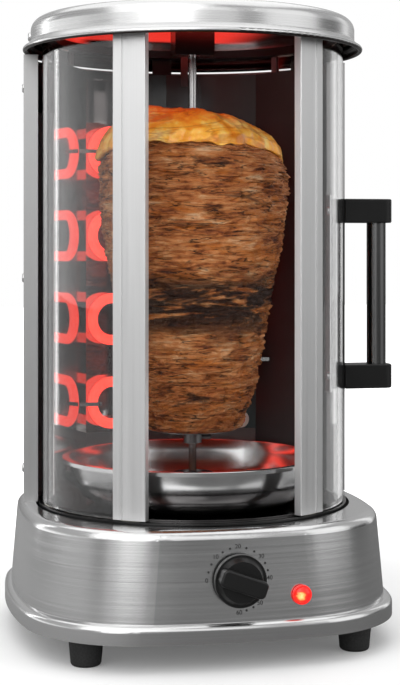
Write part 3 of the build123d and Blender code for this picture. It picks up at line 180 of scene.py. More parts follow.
# ---- Materials -----------------------------------------------------------------------------------
def brushed(name, level, rough, streak=(5, 5, 900), spread=0.10, bump=0.12, inside=None):
    """Brushed steel whose fine lines run round the object, with another colour on inward and downward faces if
    given.
    """
    mat = Mat(name, Metallic=1.0)
    lines = mat.noise(1.0, 5.0, 0.65, stretch=streak)
    clouds = mat.noise(14.0, 3.0, 0.5)
    tone = mat.mix(0.25, lines, clouds)
    colour = mat.ramp(tone, [(0.30, grey(level * (1 - spread))), (0.70, grey(min(level * (1 + spread), 1.0)))])
    if inside:
        colour = mat.mix(mat.inward(), colour, inside)
    mat.to("Base Color", colour)
    mat.to("Roughness", mat.remap(lines, 0.3, 0.7, rough * 0.8, rough * 1.25, smooth=False))
    mat.bump(lines, bump, 0.0002)
    return mat.material


def tinted(level, warm):
    """Grey that leans to red where warm is above 1."""
    return (level, level / warm, level / warm)


def sheet_steel(name, level, rough, warm=1.0):
    """Plain sheet with faint clouds and fine grain."""
    mat = Mat(name, Metallic=1.0)
    clouds = mat.noise(22.0, 4.0, 0.6)
    mat.to("Base Color", mat.ramp(clouds, [(0.3, tinted(level * 0.9, warm)), (0.7, tinted(level * 1.1, warm))]))
    mat.to("Roughness", mat.remap(clouds, 0.3, 0.7, rough * 0.85, rough * 1.2))
    mat.bump(mat.noise(900.0, 2.0), 0.03, 0.0001)
    return mat.material


def casing_sheet():
    """Brushed casing outside. Inside it is a dull grey, partly from heat and grease and partly painted reflection:
    its red tinge stands for the heater's glow in the steel.
    """
    mat = Mat("casing_sheet")
    clouds = mat.noise(22.0, 4.0, 0.6)
    inside = mat.inward()
    outer = mat.ramp(clouds, [(0.3, (0.34, 0.34, 0.34)), (0.7, (0.42, 0.42, 0.42))])
    # Red-tinged grey inside: partly soot and grease, partly painted reflection of the heater's glow.
    inner = mat.ramp(clouds, [(0.3, (0.36, 0.29, 0.28)), (0.7, (0.44, 0.37, 0.36))])
    mat.to("Base Color", mat.mix(inside, outer, inner))
    mat.to("Metallic", mat.math("SUBTRACT", 1.0, inside))
    mat.to("Roughness", mat.remap(clouds, 0.3, 0.7, 0.30, 0.45))
    return mat.material


def ceiling_material():
    """Polished ceiling with a painted red glow from the heater behind the load, weaker towards the right."""
    mat = Mat("ceiling_painted_glow", Metallic=1.0)
    clouds = mat.noise(22.0, 4.0, 0.6)
    mat.to("Base Color", mat.ramp(clouds, [(0.3, (0.24, 0.21, 0.21)), (0.7, (0.32, 0.28, 0.28))]))
    mat.to("Roughness", mat.remap(clouds, 0.3, 0.7, 0.10, 0.18))
    # Emission in a band across the ceiling, fading out to the right: painted red glow of the heater.
    mat.bsdf.inputs["Emission Color"].default_value = (1.0, 0.045, 0.030, 1.0)
    glow = mat.window(mat.axis("Y"), (-0.075, -0.030), (0.060, 0.075), 0.85)
    mat.to("Emission Strength", mat.math("MULTIPLY", glow, mat.remap(mat.axis("X"), 0.028, 0.070, 1.0, 0.0)))
    return mat.material


def plastic(name, colour, rough, specular=0.5):
    """Moulded or painted surface with a fine grain."""
    mat = Mat(name, Specular_IOR_Level=specular)
    fine = mat.noise(700.0, 3.0)
    clouds = mat.noise(30.0, 3.0)
    dark = tuple(c * 0.85 for c in colour[:3])
    light = tuple(min(1.0, c * 1.15) for c in colour[:3])
    mat.to("Base Color", mat.ramp(clouds, [(0.3, dark), (0.7, light)]))
    mat.to("Roughness", mat.remap(fine, 0.3, 0.7, rough * 0.85, rough * 1.15))
    mat.bump(fine, 0.08, 0.0001)
    return mat.material


def glass():
    """Clear pane with a faint film on it."""
    mat = Mat("pane_glass", Transmission_Weight=1.0, IOR=1.45)
    film = mat.noise(9.0, 4.0, 0.6, stretch=(1, 1, 0.3))
    mat.to("Base Color", mat.ramp(film, [(0.3, (0.80, 0.80, 0.80)), (0.7, (0.88, 0.88, 0.88))]))
    mat.to("Roughness", mat.remap(film, 0.35, 0.75, 0.0, 0.03))
    return mat.material


def heater_glow():
    """Red-hot tube, brighter along its middle than at its cooler ends."""
    mat = Mat("hot_tube", Roughness=0.6)
    spots = mat.noise(60.0, 3.0)
    mat.to("Base Color", mat.ramp(spots, [(0.3, srgb(150, 30, 20)[:3]), (0.7, srgb(190, 50, 35)[:3])]))
    mat.to("Emission Color", mat.ramp(spots, [(0.3, (1.0, 0.050, 0.030)), (0.7, (1.0, 0.070, 0.044))]))
    mat.to("Emission Strength", mat.remap(mat.axis("X"), 0.030, 0.062, 1.9, 0.12))
    return mat.material


def meat_material():
    """Stacked roast meat: strands, pale fibres, painted shade in the gaps between slices and a charred band."""
    mat = Mat("roast_meat", Subsurface_Weight=0.04, IOR=1.45)
    mat.bsdf.inputs["Subsurface Radius"].default_value = (0.004, 0.0015, 0.0008)
    strands = mat.noise(1.0, 8.0, 0.68, 0.9, stretch=(48, 48, 330))
    chunks = mat.noise(38.0, 5.0, 0.6, 0.6, stretch=(1, 1, 2.2), shift=(3, 1, 5))
    tone = mat.mix(0.45, strands, chunks)
    colour = mat.ramp(tone, [(0.35, srgb(40, 14, 6)), (0.41, srgb(122, 60, 26)), (0.47, srgb(190, 112, 56)),
                             (0.55, srgb(220, 150, 92)), (0.64, srgb(248, 208, 164))])
    height = mat.axis("Z")
    char = mat.noise(1.0, 6.0, 0.62, 0.8, stretch=(20, 20, 95), shift=(7, 2, 4))
    band = mat.window(height, (0.205, 0.238), (0.255, 0.276))
    burnt = mat.math("MULTIPLY", mat.remap(char, 0.40, 0.52, 0.0, 0.95), band)
    scattered = mat.math("MULTIPLY", mat.remap(char, 0.58, 0.66, 0.0, 0.85), mat.remap(height, 0.15, 0.36, 1.0, 0.8))
    # Thin dark lines between the slices: painted shade in the crevices.
    lines = mat.noise(1.0, 3.0, 0.55, 1.2, stretch=(24, 24, 230), shift=(5, 5, 2))
    broken = mat.noise(1.0, 3.0, 0.5, stretch=(60, 60, 120), shift=(1, 6, 3))
    crevice_shade = mat.math("MULTIPLY", mat.near_middle(lines, 0.032, 1.0), mat.remap(broken, 0.42, 0.54, 0.0, 0.9))
    glaze = mat.noise(1.0, 4.0, 0.6, 0.5, stretch=(30, 30, 120), shift=(2, 8, 1))
    colour = mat.mix(mat.remap(glaze, 0.52, 0.64, 0.0, 0.55), colour, srgb(206, 116, 30))
    golden = mat.remap(height, 0.150, 0.235, 0.45, 0.10)
    colour = mat.mix(golden, colour, srgb(150, 78, 30))
    colour = mat.mix(crevice_shade, colour, srgb(34, 14, 8))
    colour = mat.mix(mat.math("MAXIMUM", burnt, scattered), colour, srgb(26, 12, 9))
    mat.to("Base Color", colour)
    mat.to("Roughness", mat.remap(strands, 0.35, 0.65, 0.62, 0.36))
    mat.bump(mat.math("SUBTRACT", strands, mat.math("MULTIPLY", crevice_shade, 0.35)), 1.0, 0.0046)
    return mat.material


def fat_material():
    """Melted golden fat with browned edges and painted shade along its folds."""
    mat = Mat("golden_fat", Subsurface_Weight=0.15, IOR=1.46, Coat_Weight=0.35, Coat_Roughness=0.22)
    mat.bsdf.inputs["Subsurface Radius"].default_value = (0.006, 0.003, 0.001)
    lumps = mat.noise(30.0, 6.0, 0.6, 0.8)
    fine = mat.noise(160.0, 4.0, 0.6)
    tone = mat.mix(0.3, lumps, fine)
    colour = mat.ramp(tone, [(0.33, srgb(178, 84, 18)), (0.41, srgb(244, 148, 38)), (0.50, srgb(255, 184, 62)),
                             (0.61, srgb(255, 224, 130))])
    # Darker orange lines along the folds: painted shade in the creases.
    folds = mat.noise(1.0, 3.0, 0.55, 1.0, stretch=(16, 16, 60), shift=(4, 4, 9))
    colour = mat.mix(mat.near_middle(folds, 0.055, 0.50), colour, srgb(172, 84, 20))
    edge = mat.remap(mat.axis("Z"), 0.345, 0.366, 0.35, 0.0)
    mat.to("Base Color", mat.mix(edge, colour, srgb(140, 66, 22)))
    mat.to("Roughness", mat.remap(fine, 0.3, 0.7, 0.28, 0.5))
    mat.bump(tone, 0.5, 0.0016)
    return mat.material


BULB = (0.0458, -0.137, 0.0485)     # brightest spot of the lamp, in metres


def lamp_material():
    """Lit red lens with a hot spot from the bulb behind it."""
    mat = Mat("lit_lens", Roughness=0.15, Base_Color=srgb(200, 20, 15))
    glow = mat.remap(mat.distance(BULB), 0.0008, 0.0058, 0.0, 1.0)
    facets = mat.noise(420.0, 2.0)
    glow = mat.math("ADD", glow, mat.remap(facets, 0.3, 0.7, -0.15, 0.15))
    mat.to("Emission Color", mat.ramp(glow, [(0.0, (1.0, 0.85, 0.30)), (0.28, (1.0, 0.42, 0.10)),
                                             (0.5, (0.95, 0.05, 0.02)), (1.0, (0.55, 0.01, 0.01))]))
    mat.bsdf.inputs["Emission Strength"].default_value = 1.0
    return mat.material


def reflector_material():
    """Polished steel, light on the left with a darker band along its top. Behind the load and to its right it is
    painted dark, as painted shade, and rougher; on the right it is also less metallic.
    """
    mat = Mat("steel_with_painted_shade", Metallic=1.0)
    clouds = mat.noise(16.0, 4.0, 0.6)
    across = mat.axis("X")
    seam = (-0.056, -0.050)
    shade = (0.02, 0.05)
    left = mat.ramp(clouds, [(0.3, (0.46, 0.43, 0.42)), (0.7, (0.54, 0.51, 0.50))])
    # Dark middle and right: painted shade behind the load.
    middle = mat.ramp(clouds, [(0.3, (0.034, 0.034, 0.034)), (0.7, (0.052, 0.052, 0.052))])
    right = mat.ramp(clouds, [(0.3, (0.030, 0.042, 0.043)), (0.7, (0.046, 0.062, 0.063))])
    left = mat.mix(mat.remap(mat.axis("Z"), 0.378, 0.392, 0.0, 1.0), left, (0.10, 0.09, 0.088, 1.0))
    tint = mat.mix(mat.remap(across, *seam, 0.0, 1.0), left, middle)
    mat.to("Base Color", mat.mix(mat.remap(across, *shade, 0.0, 1.0), tint, right))
    film = mat.math("ADD", mat.remap(across, *seam, 0.0, 0.16), mat.remap(across, *shade, 0.0, 0.35))
    mat.to("Roughness", mat.math("ADD", film, mat.remap(clouds, 0.3, 0.7, 0.04, 0.09)))
    mat.to("Metallic", mat.remap(across, *shade, 1.0, 0.35))
    return mat.material


STEEL = brushed("brushed_base", 0.62, 0.20)
# The lid's inside and the underside of its brim are painted near black: painted shade.
STEEL_LID = brushed("brushed_lid", 0.60, 0.25, streak=(7, 7, 1000), inside=(0.05, 0.04, 0.038, 1.0))
STEEL_RIM = brushed("rolled_rim", 0.62, 0.20, streak=(5, 5, 1200), spread=0.06)
ALUMINIUM = brushed("drawn_aluminium", 0.74, 0.42, streak=(900, 900, 5), spread=0.05, bump=0.06)
# The side posts take a darker copy of the drawn aluminium: painted shade.
SIDE_ALUMINIUM = brushed("side_aluminium_painted_darker", 0.44, 0.40, streak=(900, 900, 5), spread=0.05, bump=0.05)
BAR_STEEL = brushed("brushed_bar", 0.11, 0.24, streak=(900, 900, 5), spread=0.25, bump=0.05)
CASING = casing_sheet()
POLISHED = sheet_steel("polished_steel", 0.62, 0.10)
TRAY = sheet_steel("pressed_tray", 0.62, 0.19)
SPIT = brushed("spit_steel", 0.40, 0.18, streak=(5, 5, 1500))
SPIT_DULL = sheet_steel("dull_spit", 0.16, 0.36)
CLIPS = sheet_steel("heater_clips_steel", 0.22, 0.25)
SCREWS = sheet_steel("screw_steel", 0.55, 0.22)
ZINC = sheet_steel("zinc_sheet", 0.50, 0.42)
SOOTY = sheet_steel("sooty_steel", 0.09, 0.20, warm=1.12)
DARK = sheet_steel("dark_floor", 0.16, 0.14, warm=1.04)
CEILING = ceiling_material()
TAIL = sheet_steel("dark_channel", 0.16, 0.40, warm=1.05)
RING_INSIDE = sheet_steel("dull_ring", 0.05, 0.55, warm=1.10)
BRASS = sheet_steel("brass_parts", 0.5, 0.25, warm=1.6)
BLACK = plastic("black_grip", (0.006, 0.006, 0.006), 0.40, specular=0.25)
KNOB_BLACK = plastic("black_knob", (0.007, 0.007, 0.007), 0.34, specular=0.35)
RUBBER = plastic("black_rubber", (0.015, 0.015, 0.015), 0.7)
NYLON = plastic("pale_nylon", (0.60, 0.58, 0.53), 0.5)
PHENOLIC = plastic("dark_phenolic", (0.05, 0.035, 0.025), 0.5)
CERAMIC = plastic("fired_ceramic", (0.62, 0.58, 0.52), 0.6)
RING_BLACK = sheet_steel("ring_black", 0.045, 0.30)
GLASS = glass()
GLOW = heater_glow()
LAMP = lamp_material()
REFLECTOR = reflector_material()
MEAT = meat_material()
FAT = fat_material()

FINISHES = {
    "base_housing": STEEL, "base_rim": STEEL_RIM, "bottom_plate": ZINC, "base_screws": SCREWS,
    "feet": RUBBER, "foot_screws": SCREWS, "foot_nuts": SCREWS, "cord_gland": RUBBER,
    "timer_body": PHENOLIC, "timer_nut": SCREWS, "timer_shaft": BRASS, "timer_knob": KNOB_BLACK,
    "lamp_lens": LAMP, "lamp_body": NYLON, "terminal_block": NYLON, "thermal_cutout": PHENOLIC,
    "chassis_dish": ZINC, "track_ring": RING_BLACK, "cavity_floor": DARK, "floor_bush": BRASS,
    "gearbox": ZINC, "motor": ZINC, "motor_screws": SCREWS, "drive_shaft": SCREWS,
    "drive_socket": SPIT_DULL, "spit_rod": SPIT, "spit_disc": SPIT_DULL,
    "left_door_profile": ALUMINIUM, "right_door_profile": ALUMINIUM,
    "left_door_glass": GLASS, "right_door_glass": GLASS,
    "left_door_tail": TAIL, "right_door_tail": TAIL,
    "left_door_glides": NYLON, "right_door_glides": NYLON,
    "side_post_left": SIDE_ALUMINIUM, "side_post_right": SIDE_ALUMINIUM,
    "rear_casing": CASING, "casing_screws": SCREWS, "upper_ring": RING_INSIDE, "ring_hangers": RING_INSIDE,
    "ceiling_pan": CEILING, "spit_bracket": SOOTY, "spit_bush": BRASS, "lid_cover": STEEL_LID,
    "lid_screws": SCREWS, "handle_strip": BLACK, "handle_block_low": BLACK,
    "handle_block_high": BLACK, "handle_bar": BAR_STEEL, "handle_plate": POLISHED,
    "handle_screws": SCREWS, "heater_element": GLOW, "heater_insulators": CERAMIC,
    "heater_clips": CLIPS, "reflector": REFLECTOR, "reflector_hanger": SOOTY, "drip_tray": TRAY,
    "meat_stack": MEAT, "fat_cap": FAT,
}


def dress(node, material):
    """Gives a CAD node its finish."""
    slots = NODES[node].material_slots
    if not slots:
        NODES[node].data.materials.append(material)
    for slot in slots:
        slot.material = material


for node_name, finish in FINISHES.items():
    dress(node_name, finish)


# ---- Meshes --------------------------------------------------------------------------------------
def mesh_object(name, verts, faces, material, smooth=True):
    """Mesh in the scene with one material."""
    mesh = bpy.data.meshes.new(name)
    mesh.from_pydata(verts, [], faces)
    mesh.update()
    made = bpy.data.objects.new(name, mesh)
    bpy.context.scene.collection.objects.link(made)
    mesh.materials.append(material)
    mesh.polygons.foreach_set("use_smooth", [smooth] * len(mesh.polygons))
    return made


def lathe(name, rows, segments, material):
    """Closed skin over rows, each a function of the angle that gives a point, from the first to the last."""
    verts, faces = [], []
    for row in rows:
        for index in range(segments):
            verts.append(row(2 * math.pi * index / segments))
    for level in range(len(rows) - 1):
        for index in range(segments):
            a = level * segments + index
            b = level * segments + (index + 1) % segments
            faces.append((a, b, b + segments, a + segments))
    faces.append(tuple(reversed(range(segments))))
    faces.append(tuple(range((len(rows) - 1) * segments, len(rows) * segments)))
    return mesh_object(name, verts, faces, material)


# Outline of the meat: height and radius in millimetres.
MEAT_OUTLINE = ((149.0, 33.5), (151.0, 37.5), (156.0, 40.0), (168.0, 44.5), (186.0, 49.0), (215.0, 54.3),
                (247.0, 60.0), (282.0, 66.2), (318.0, 71.0), (345.0, 72.0), (358.0, 69.0), (368.0, 63.5),
                (374.0, 54.0), (376.0, 44.0))
SHEET_THICK = 4.2      # mean thickness of the stacked slices, in millimetres


def outline_radius(height):
    """Mean radius of the meat at a height, in millimetres."""
    for (z0, r0), (z1, r1) in zip(MEAT_OUTLINE, MEAT_OUTLINE[1:]):
        if height <= z1:
            return r0 + (r1 - r0) * (height - z0) / (z1 - z0)
    return MEAT_OUTLINE[-1][1]


PHOTO_RIGHT = (0.976, -0.216)


def rightward(c, s):
    """How far a direction points to the photograph's right, from -1 to 1."""
    return PHOTO_RIGHT[0] * c + PHOTO_RIGHT[1] * s


# The lean of the load's top: the height where it starts, how far it takes to grow, and its slope on each side.
SLUMP_FROM, SLUMP_OVER = 326.0, 48.0
SLUMP_RIGHT, SLUMP_LEFT = 0.17, 0.04


def slump(c, s, radius, height):
    """Drop of the load's top, which leans to the right."""
    share = max(0.0, min(1.0, (height - SLUMP_FROM) / SLUMP_OVER))
    side = rightward(c, s)
    tilt = SLUMP_RIGHT * max(0.0, side) + SLUMP_LEFT * min(0.0, side)
    return radius * tilt * share * share * (3 - 2 * share)


def meat_point(height):
    """Row of the meat's skin at a height: stacked slices with ragged edges."""
    base = outline_radius(height)

    def point(angle):
        c, s = math.cos(angle), math.sin(angle)
        low = noise.noise(Vector((c * 1.3, s * 1.3, height * 0.013)))
        wave = noise.noise(Vector((c * 2.2, s * 2.2, height * 0.02 + 7.0)))
        level = height / SHEET_THICK + 2.1 * wave
        layer, part = math.floor(level), level - math.floor(level)
        reach = noise.noise(Vector((c * 3.4 + layer * 5.3, s * 3.4, layer * 1.7)))
        bulge = (4 * part * (1 - part)) ** 0.55 - 0.62
        strand = noise.noise(Vector((c * 13, s * 13, height * 0.55)))
        fine = noise.noise(Vector((c * 34, s * 34, height * 1.3)))
        torn = noise.noise(Vector((c * 7.5, s * 7.5, height * 0.09 + 31)))
        pit = -2.4 * max(0.0, torn - 0.28) / 0.4
        offset = 1.9 * low + 1.9 * reach + 1.35 * bulge + 1.5 * strand + 0.75 * fine + pit
        fade = min(1.0, (height - 148.0) / 6.0, (378.0 - height) / 8.0)
        radius = base + offset * max(fade, 0.25) - 0.4
        above_foot = max(0.0, min(1.0, (height - 150) / 5))
        lift = 0.9 * noise.noise(Vector((c * 5, s * 5, height * 0.2 + 60))) * above_foot
        lift -= slump(c, s, radius, height)
        return (radius * c * MM, radius * s * MM, (height + lift) * MM)
    return point


def make_meat():
    """The load's slices as one skin."""
    segments = 430
    count = 330
    low, high = MEAT_OUTLINE[0][0], MEAT_OUTLINE[-1][0]
    rows = [meat_point(low + (high - low) * index / (count - 1)) for index in range(count)]
    return lathe("meat_slices", rows, segments, MEAT)


HEM_HEIGHT, CROWN_HEIGHT = 364.0, 391.0      # mean heights of the cap's edge and top, in millimetres
CAP_THICK = 3.2


def fat_hem(c, s):
    """Height of the cap's ragged lower edge at an angle. It droops on the left and in a flap on the right."""
    broad = noise.noise(Vector((c * 1.7, s * 1.7, 3.3)))
    ragged = noise.noise(Vector((c * 5.5, s * 5.5, 9.1)))
    side = rightward(c, s)
    flap = max(0.0, side - 0.93) / 0.07
    droop = 8.0 * max(0.0, -side) ** 4 + 4.0 * max(0.0, side) + 7.0 * flap ** 0.6
    return HEM_HEIGHT + 3.0 * broad + 3.0 * ragged - droop


def fat_point(t, inner=False):
    """Row of the cap: t runs from 0 at the hem to 1 at the top's centre."""
    def point(angle):
        c, s = math.cos(angle), math.sin(angle)
        hem = fat_hem(c, s)
        side = rightward(c, s)
        rim_radius = outline_radius(hem + 11.0 * max(0.0, side)) + 3.0
        turn = t * math.pi / 2
        crown = CROWN_HEIGHT + 3.0 * noise.noise(Vector((c * 0.9, s * 0.9, 20.0)))
        radius = rim_radius * math.cos(turn) ** 0.72
        slope = math.sin(turn)
        height = hem + (crown - hem) * slope ** 1.05 - 0.12 * radius * side * slope
        x, y = radius * c, radius * s
        lumps = noise.noise(Vector((x * 0.045, y * 0.045, height * 0.03 + 5)))
        folds = abs(noise.noise(Vector((x * 0.09 + 40, y * 0.09, height * 0.08))))
        fine = noise.noise(Vector((x * 0.3, y * 0.3, height * 0.3)))
        push = 3.4 * lumps - 3.0 * folds + 0.7 * fine + 1.2
        if inner:
            push -= CAP_THICK
            height -= 0.5
        radius = max(0.0, radius + push * (1 - slope))
        height += push * slope
        return (radius * c * MM, radius * s * MM, height * MM)
    return point


def make_fat():
    """The cap with its underside, as one skin."""
    segments = 260
    count = 90
    steps = [index / count for index in range(count)]
    rows = [fat_point(t, inner=True) for t in reversed(steps[:count // 2])]
    rows += [fat_point(t) for t in steps]
    return lathe("melted_cap", rows, segments, FAT)


# Wall of the tray from its foot to under its lip: radius and height in millimetres.
TRAY_WALL = ((15.9, 94.0), (60.0, 94.0), (70.0, 95.2), (78.0, 97.6), (84.5, 101.6), (88.8, 107.0), (91.4, 113.5),
             (93.0, 120.5), (94.4, 128.7))
TRAY_SHEET = 0.8
COLLAR_BORE, COLLAR_TOP = 15.0, 116.0
TRAY_LIP = ((98.4, 128.7), (98.4, 126.6), (99.2, 126.6), (99.3, 129.2), (99.0, 129.5), (94.0, 129.5))


def make_tray():
    """The tray as one pressed sheet with a round corner, a flat lip and the collar in its middle."""
    inner = [(r - TRAY_SHEET * 0.8, z + TRAY_SHEET * 0.6) for r, z in TRAY_WALL]
    collar, foot = TRAY_WALL[0]
    inner[0] = (collar, foot + TRAY_SHEET)
    loop = [(collar, COLLAR_TOP), (COLLAR_BORE, COLLAR_TOP), (COLLAR_BORE, foot), *TRAY_WALL, *TRAY_LIP,
            *reversed(inner)]
    segments = 160
    verts = [(r * math.cos(2 * math.pi * index / segments) * MM, r * math.sin(2 * math.pi * index / segments) * MM,
              z * MM) for r, z in loop for index in range(segments)]
    faces = []
    for row in range(len(loop)):
        above = (row + 1) % len(loop)
        for index in range(segments):
            after = (index + 1) % segments
            faces.append((row * segments + index, row * segments + after, above * segments + after,
                          above * segments + index))
    made = mesh_object("pressed_bowl", verts, faces, TRAY)
    made.data.set_sharp_from_angle(angle=math.radians(35))
    return made


meat = make_meat()
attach(meat, "spit")
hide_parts("meat_stack")

cap = make_fat()
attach(cap, "spit")
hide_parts("fat_cap")

tray = make_tray()
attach(tray, "tray")
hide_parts("drip_tray")


# ---- Dial ----------------------------------------------------------------------------------------
INK = plastic("printed_ink", (0.02, 0.02, 0.02), 0.5)
DIAL_X, DIAL_Z = 2.5, 61.5
DIAL_R = 21.6
FACE_LOW, FACE_HIGH = (33.0, 136.0), (95.0, 131.0)      # height and half depth of the sloping front
FACE_LEAN = math.atan2(FACE_LOW[1] - FACE_HIGH[1], FACE_HIGH[0] - FACE_LOW[0])
SIDE_CENTRE = 259.0         # the front bows round a centre this far behind the axis
INK_THICK = 0.08
NUMBER_SIZE, NUMBER_SWELL = 4.2, 0.06
NUMBER_R = DIAL_R + 0.6
DOT_RADIUS, DOT_SIDES, DOT_SUNK = 0.8, 16, 0.05
# The numbers and their angles from the photograph's right, in degrees. Two dots stand between neighbours.
DIAL_MARKS = (("0", 180), ("10", 135), ("20", 90), ("30", 42), ("40", 0), ("50", -48), ("60", -90))


def face_y(x, z):
    """Y of the base's bowed front at a place on it, in millimetres."""
    share = (z - FACE_LOW[0]) / (FACE_HIGH[0] - FACE_LOW[0])
    half = FACE_LOW[1] + (FACE_HIGH[1] - FACE_LOW[1]) * share
    return SIDE_CENTRE - math.sqrt((SIDE_CENTRE + half) ** 2 - x ** 2)


def on_dial(radius, angle):
    """X and Z of a place on the dial, in millimetres."""
    turn = math.radians(angle)
    return DIAL_X + radius * math.cos(turn), DIAL_Z + radius * math.sin(turn)


def make_number(text, angle):
    """One of the dial's numbers, laid on the sloping front."""
    curve = bpy.data.curves.new("dial_" + text, "FONT")
    curve.body = text
    curve.size = NUMBER_SIZE * MM
    curve.align_x = "CENTER"
    curve.align_y = "CENTER"
    curve.extrude = INK_THICK / 2 * MM
    curve.offset = NUMBER_SWELL * MM
    curve.materials.append(INK)
    made = bpy.data.objects.new("dial_" + text, curve)
    bpy.context.scene.collection.objects.link(made)
    x, z = on_dial(NUMBER_R, angle)
    made.location = (x * MM, (face_y(x, z) - INK_THICK / 2) * MM, z * MM)
    made.rotation_euler = (math.pi / 2 - FACE_LEAN, 0, math.asin(x / (SIDE_CENTRE + FACE_LOW[1])))
    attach(made, "base")


def make_dots():
    """The dial's minute dots in one mesh."""
    stops = [angle for _, angle in DIAL_MARKS]
    angles = [start + (end - start) * part / 3 for start, end in zip(stops, stops[1:]) for part in (1, 2)]
    build = bmesh.new()
    for angle in angles:
        x, z = on_dial(DIAL_R, angle)
        rings = []
        for lift in (-DOT_SUNK, INK_THICK):
            ring = []
            for index in range(DOT_SIDES):
                turn = 2 * math.pi * index / DOT_SIDES
                px, pz = x + DOT_RADIUS * math.cos(turn), z + DOT_RADIUS * math.sin(turn)
                ring.append(build.verts.new((px * MM, (face_y(px, pz) - lift) * MM, pz * MM)))
            rings.append(ring)
        build.faces.new(rings[1])
        build.faces.new(list(reversed(rings[0])))
        for index in range(DOT_SIDES):
            after = (index + 1) % DOT_SIDES
            build.faces.new((rings[0][index], rings[0][after], rings[1][after], rings[1][index]))
    bmesh.ops.recalc_face_normals(build, faces=build.faces)
    mesh = bpy.data.meshes.new("dial_dots")
    build.to_mesh(mesh)
    build.free()
    mesh.materials.append(INK)
    made = bpy.data.objects.new("dial_dots", mesh)
    bpy.context.scene.collection.objects.link(made)
    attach(made, "base")


for label, label_angle in DIAL_MARKS:
    make_number(label, label_angle)
make_dots()


# ---- Floor, light and camera ---------------------------------------------------------------------
def make_floor():
    """Pale floor that runs into the white behind it and looks greyer in metal, as the studio's did."""
    size = 6.0
    floor = mesh_object("floor", [(-size, -size, 0), (size, -size, 0), (size, size, 0), (-size, size, 0)],
                        [(0, 1, 2, 3)], None, smooth=False)
    floor.data.materials.clear()
    mat = Mat("pale_floor", Roughness=0.9)
    path = mat.node("ShaderNodeLightPath")
    seen = mat.math("MAXIMUM", path.outputs["Is Camera Ray"], path.outputs["Is Transmission Ray"])
    in_metal = mat.mix(mat.remap(mat.axis("X"), -0.22, -0.02, 0.0, 1.0), grey(0.34), grey(0.15))
    mat.to("Base Color", mat.mix(path.outputs["Is Glossy Ray"], grey(0.86), in_metal))
    mat.bsdf.inputs["Emission Color"].default_value = grey(1.0)
    mat.to("Emission Strength", mat.math("MULTIPLY", seen, mat.remap(mat.distance(), 0.22, 0.75, 0.12, 1.0)))
    floor.data.materials.append(mat.material)


# Strength of the studio round the object: azimuth in degrees from the front, rightwards, and strength.
STUDIO = ((-180, 0.30), (-158, 0.36), (-140, 0.90), (-126, 1.70), (-105, 1.50), (-75, 0.90), (-57, 0.20),
          (-45, 1.05), (-33, 2.00), (-19, 1.60), (-10, 0.45), (-3, 0.14), (7, 0.14), (20, 0.36), (32, 0.50),
          (58, 0.42), (76, 0.22), (88, 0.03), (106, 0.04), (118, 0.45), (134, 0.50), (160, 0.38))


OVERHEAD = 0.54          # strength of the studio above
HORIZON_BLEND = (0.03, 0.30)      # upward share of a direction over which the sides pass into that


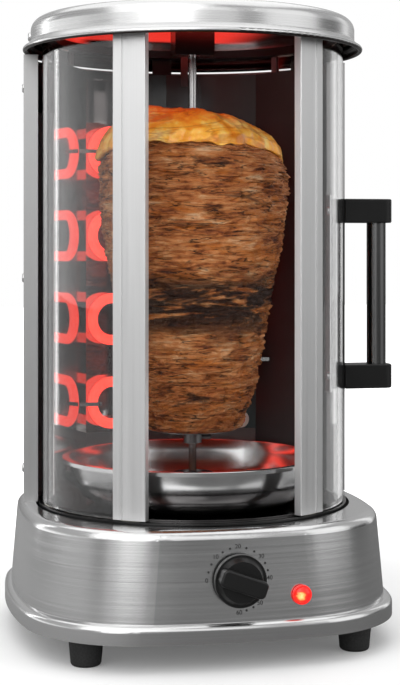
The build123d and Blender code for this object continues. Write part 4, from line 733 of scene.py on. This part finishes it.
def make_world():
    """Pale studio: white to the eye and through glass, with softer and darker sides around it."""
    world = bpy.data.worlds.new("studio")
    world.use_nodes = True
    bpy.context.scene.world = world
    nodes, links = world.node_tree.nodes, world.node_tree.links

    def math_node(operation, *values):
        made = nodes.new("ShaderNodeMath")
        made.operation = operation
        for index, value in enumerate(values):
            if isinstance(value, bpy.types.NodeSocket):
                links.new(value, made.inputs[index])
            else:
                made.inputs[index].default_value = value
        return made.outputs[0]

    background = nodes["Background"]
    path = nodes.new("ShaderNodeLightPath")
    place = nodes.new("ShaderNodeTexCoord")
    split = nodes.new("ShaderNodeSeparateXYZ")
    links.new(place.outputs["Generated"], split.inputs[0])
    azimuth = math_node("ARCTAN2", split.outputs[0], math_node("MULTIPLY", split.outputs[1], -1.0))
    around = math_node("ADD", math_node("DIVIDE", azimuth, 2 * math.pi), 0.5)
    ramp = nodes.new("ShaderNodeValToRGB")
    ramp.color_ramp.interpolation = "EASE"
    while len(ramp.color_ramp.elements) < len(STUDIO):
        ramp.color_ramp.elements.new(0.5)
    for element, (degrees, strength) in zip(ramp.color_ramp.elements, STUDIO):
        element.position = degrees / 360.0 + 0.5
        element.color = grey(strength)
    links.new(around, ramp.inputs["Fac"])
    upper = nodes.new("ShaderNodeMapRange")
    upper.interpolation_type = "SMOOTHSTEP"
    for key, value in zip(("From Min", "From Max"), HORIZON_BLEND):
        upper.inputs[key].default_value = value
    links.new(split.outputs["Z"], upper.inputs["Value"])
    blend = nodes.new("ShaderNodeMix")
    blend.data_type = "FLOAT"
    links.new(upper.outputs["Result"], blend.inputs[0])
    links.new(ramp.outputs["Color"], blend.inputs[2])
    blend.inputs[3].default_value = OVERHEAD
    seen = math_node("MAXIMUM", path.outputs["Is Camera Ray"], path.outputs["Is Transmission Ray"])
    links.new(math_node("MAXIMUM", seen, blend.outputs[0]), background.inputs["Strength"])
    background.inputs["Color"].default_value = grey(1.0)


# Area lights: name, place, height that they aim at on the axis, width and height, watts.
LIGHTS = (("key", (-1.1, -1.3, 1.5), 0.25, (2.2, 2.2), 20),
          ("front", (-0.3, -1.7, 1.0), 0.28, (2.0, 1.1), 5),
          ("fill", (1.5, -0.9, 0.8), 0.25, (1.5, 1.6), 6),
          ("top", (0, 0.2, 1.7), 0.3, (2.2, 2.2), 15),
          ("strip_left", (-1.02, 0.98, 0.35), 0.28, (0.12, 1.4), 1.8),
          ("strip_right", (1.24, 0.68, 0.35), 0.28, (0.26, 1.4), 0.9))


def make_light(name, place, aim, size, power):
    lamp = bpy.data.lights.new(name, "AREA")
    lamp.shape = "RECTANGLE"
    lamp.size, lamp.size_y = size
    lamp.energy = power
    made = bpy.data.objects.new(name, lamp)
    made.location = place
    made.rotation_euler = (Vector((0, 0, aim)) - Vector(place)).to_track_quat("-Z", "Y").to_euler()
    bpy.context.scene.collection.objects.link(made)


IMAGE_HEIGHT = 685.0         # of the photograph, in pixels
FOCAL_PIXELS = 1571.0
SHIFT_PIXELS = (7.5, -98.5)
CAMERA_AWAY, CAMERA_HEIGHT = 1.2, 0.290
SENSOR = 36.0


def make_camera():
    """The photograph's camera: level, 12.5 degrees to the left of the front."""
    turn = math.radians(12.5)
    data = bpy.data.cameras.new("camera")
    data.sensor_fit = "VERTICAL"
    data.sensor_height = SENSOR
    data.lens = SENSOR * FOCAL_PIXELS / IMAGE_HEIGHT
    data.shift_x, data.shift_y = (pixels / IMAGE_HEIGHT for pixels in SHIFT_PIXELS)
    made = bpy.data.objects.new("camera", data)
    made.location = (-CAMERA_AWAY * math.sin(turn), -CAMERA_AWAY * math.cos(turn), CAMERA_HEIGHT)
    made.rotation_euler = (math.pi / 2, 0, -turn)
    bpy.context.scene.collection.objects.link(made)
    bpy.context.scene.camera = made


make_floor()
make_world()
for light in LIGHTS:
    make_light(*light)
make_camera()
bpy.context.scene.view_settings.view_transform = "Standard"
